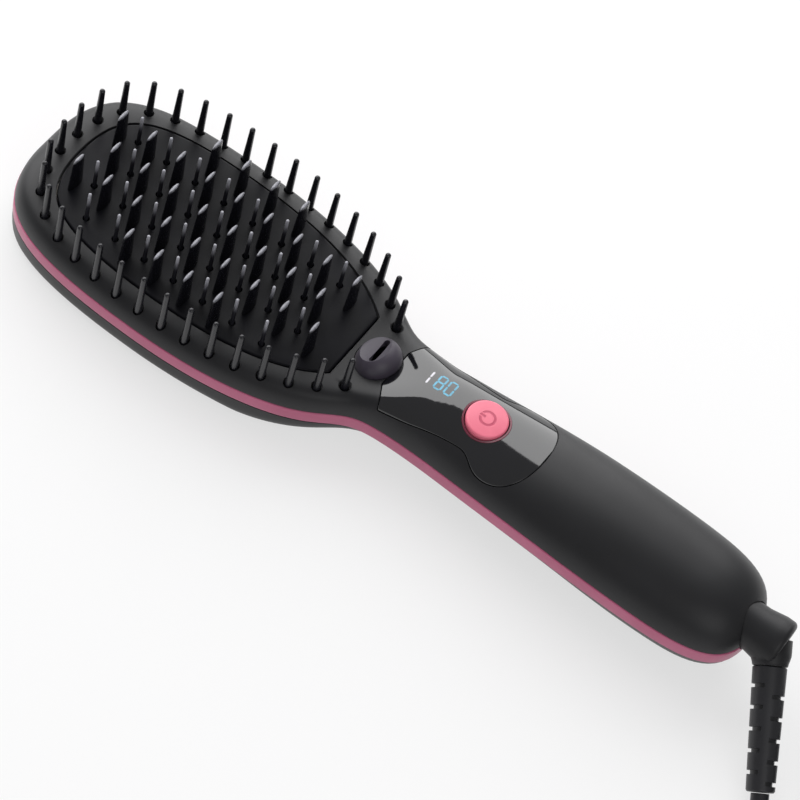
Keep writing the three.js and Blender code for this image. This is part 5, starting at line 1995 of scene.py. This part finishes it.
@dataclass
class Studio:
    """Plain studio with a pale floor, soft lamps and the camera of the picture."""

    azimuth: float = 18.3
    elevation: float = 57.8
    roll: float = 19.9
    focal_pixels: float = 3011.0
    frame_pixels: float = 800.0
    camera_place: Point = (255.08, -506.3, 859.5)
    floor_half: float = 4.0
    floor_colour: Colour = (0.86, 0.86, 0.865)
    floor_glow: float = 0.62
    sky: float = 0.32
    lamps: tuple[tuple[str, Point, Point, Pair, float], ...] = (
        ("far_lamp", (-0.72, 0.72, 0.74), (0.05, 0.0, 0.03), (2.3, 1.4), 33.0),
        ("near_lamp", (0.75, -0.7, 0.8), (0.0, 0.0, 0.02), (0.9, 0.9), 3.5),
    )

    def camera(self, layout: Layout) -> None:
        """Place the camera at the angle of the picture."""
        turn, tilt, roll = (math.radians(a) for a in (self.azimuth, self.elevation, self.roll))
        level = Vector((math.cos(turn), math.sin(turn), 0))
        upright = Vector((-math.sin(turn) * math.sin(tilt), math.cos(turn) * math.sin(tilt), math.cos(tilt)))
        right = level * math.cos(roll) + upright * math.sin(roll)
        up = upright * math.cos(roll) - level * math.sin(roll)
        axes = Matrix((right, up, right.cross(up))).transposed()
        data = bpy.data.cameras.new("picture_camera")
        data.sensor_fit = "HORIZONTAL"
        data.lens = data.sensor_width * self.focal_pixels / self.frame_pixels
        data.clip_start, data.clip_end = 0.05, 10.0
        camera = bpy.data.objects.new("picture_camera", data)
        camera.matrix_world = Matrix.Translation(layout.point(*self.camera_place)) @ axes.to_4x4()
        bpy.context.scene.collection.objects.link(camera)
        bpy.context.scene.camera = camera

    @staticmethod
    def seen(tree: Tree) -> Value:
        """Return 1 for rays that look at or through the object, else 0."""
        kinds = ("Camera", "Glossy", "Transmission")
        rays = [tree.node("ShaderNodeLightPath", output=f"Is {kind} Ray") for kind in kinds]
        return rays[0].most(rays[1]).most(rays[2])

    def floor(self) -> None:
        """Make the floor, which looks nearly white and keeps the shadow."""
        half = self.floor_half
        mesh = bpy.data.meshes.new("studio_floor")
        corners = [(-half, -half, 0), (half, -half, 0), (half, half, 0), (-half, half, 0)]
        mesh.from_pydata(corners, [], [(0, 1, 2, 3)])
        shader = Shader("studio_floor")
        shader.set(base_color=self.floor_colour, roughness=0.9, specular_ior_level=0.1)
        plain = Value(shader, shader.surface.outputs[0])
        white = shader.node("ShaderNodeEmission", None, {"Color": (1.0, 1.0, 1.0), "Strength": 1.0})
        mixed = shader.node("ShaderNodeMixShader", None, (self.seen(shader) * self.floor_glow, plain, white))
        shader.links.new(mixed.socket, shader.nodes["Material Output"].inputs[0])
        mesh.materials.append(shader.material)
        linked("studio_floor", mesh)

    def world(self) -> None:
        """Light the scene evenly, with a white background behind the object."""
        world = bpy.data.worlds.new("studio_world")
        world.use_nodes = True
        tree = Tree(world.node_tree)
        path = tree.node("ShaderNodeLightPath", output="Is Camera Ray")
        strength = self.sky + (1.0 - self.sky) * path
        background = world.node_tree.nodes["Background"]
        tree.connect(background.inputs["Color"], (1.0, 1.0, 1.0))
        tree.connect(background.inputs["Strength"], strength)
        bpy.context.scene.world = world

    def lamp(self, name: str, place: Point, aim: Point, size: Pair, power: float) -> None:
        """Add one soft lamp.

        Args:
            name: name of the lamp.
            place: its place in metres.
            aim: the point that it faces.
            size: its width and height in metres.
            power: watts.
        """
        data = bpy.data.lights.new(name, "AREA")
        data.shape, data.energy = "RECTANGLE", power
        data.size, data.size_y = size
        lamp = bpy.data.objects.new(name, data)
        lamp.location = place
        lamp.rotation_euler = (Vector(aim) - Vector(place)).to_track_quat("-Z", "Y").to_euler()
        bpy.context.scene.collection.objects.link(lamp)

    def build(self, layout: Layout) -> None:
        """Build the whole studio."""
        self.camera(layout)
        self.floor()
        self.world()
        for lamp in self.lamps:
            self.lamp(*lamp)
        bpy.context.scene.view_settings.view_transform = "Standard"


def main() -> None:
    """Build the picture: camera and cord first, then every piece in order."""
    logging.basicConfig(level=logging.INFO, format="%(name)s: %(message)s")
    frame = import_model()
    layout = Layout()
    bench = Bench(layout, Finishes())
    Studio().build(layout)
    route = Route()
    MainsLead(bench, route).build()
    dress_nodes(frame["nodes"], bench)
    CordSwivel(bench, route).build()
    Housings(bench).build()
    HeatedPlate(bench).build()
    BristleRing(bench).build()
    IonOutlet(bench).build()
    ControlPanel(bench).build()
    PowerButton(bench).build()


if __name__ == "__main__":
    main()
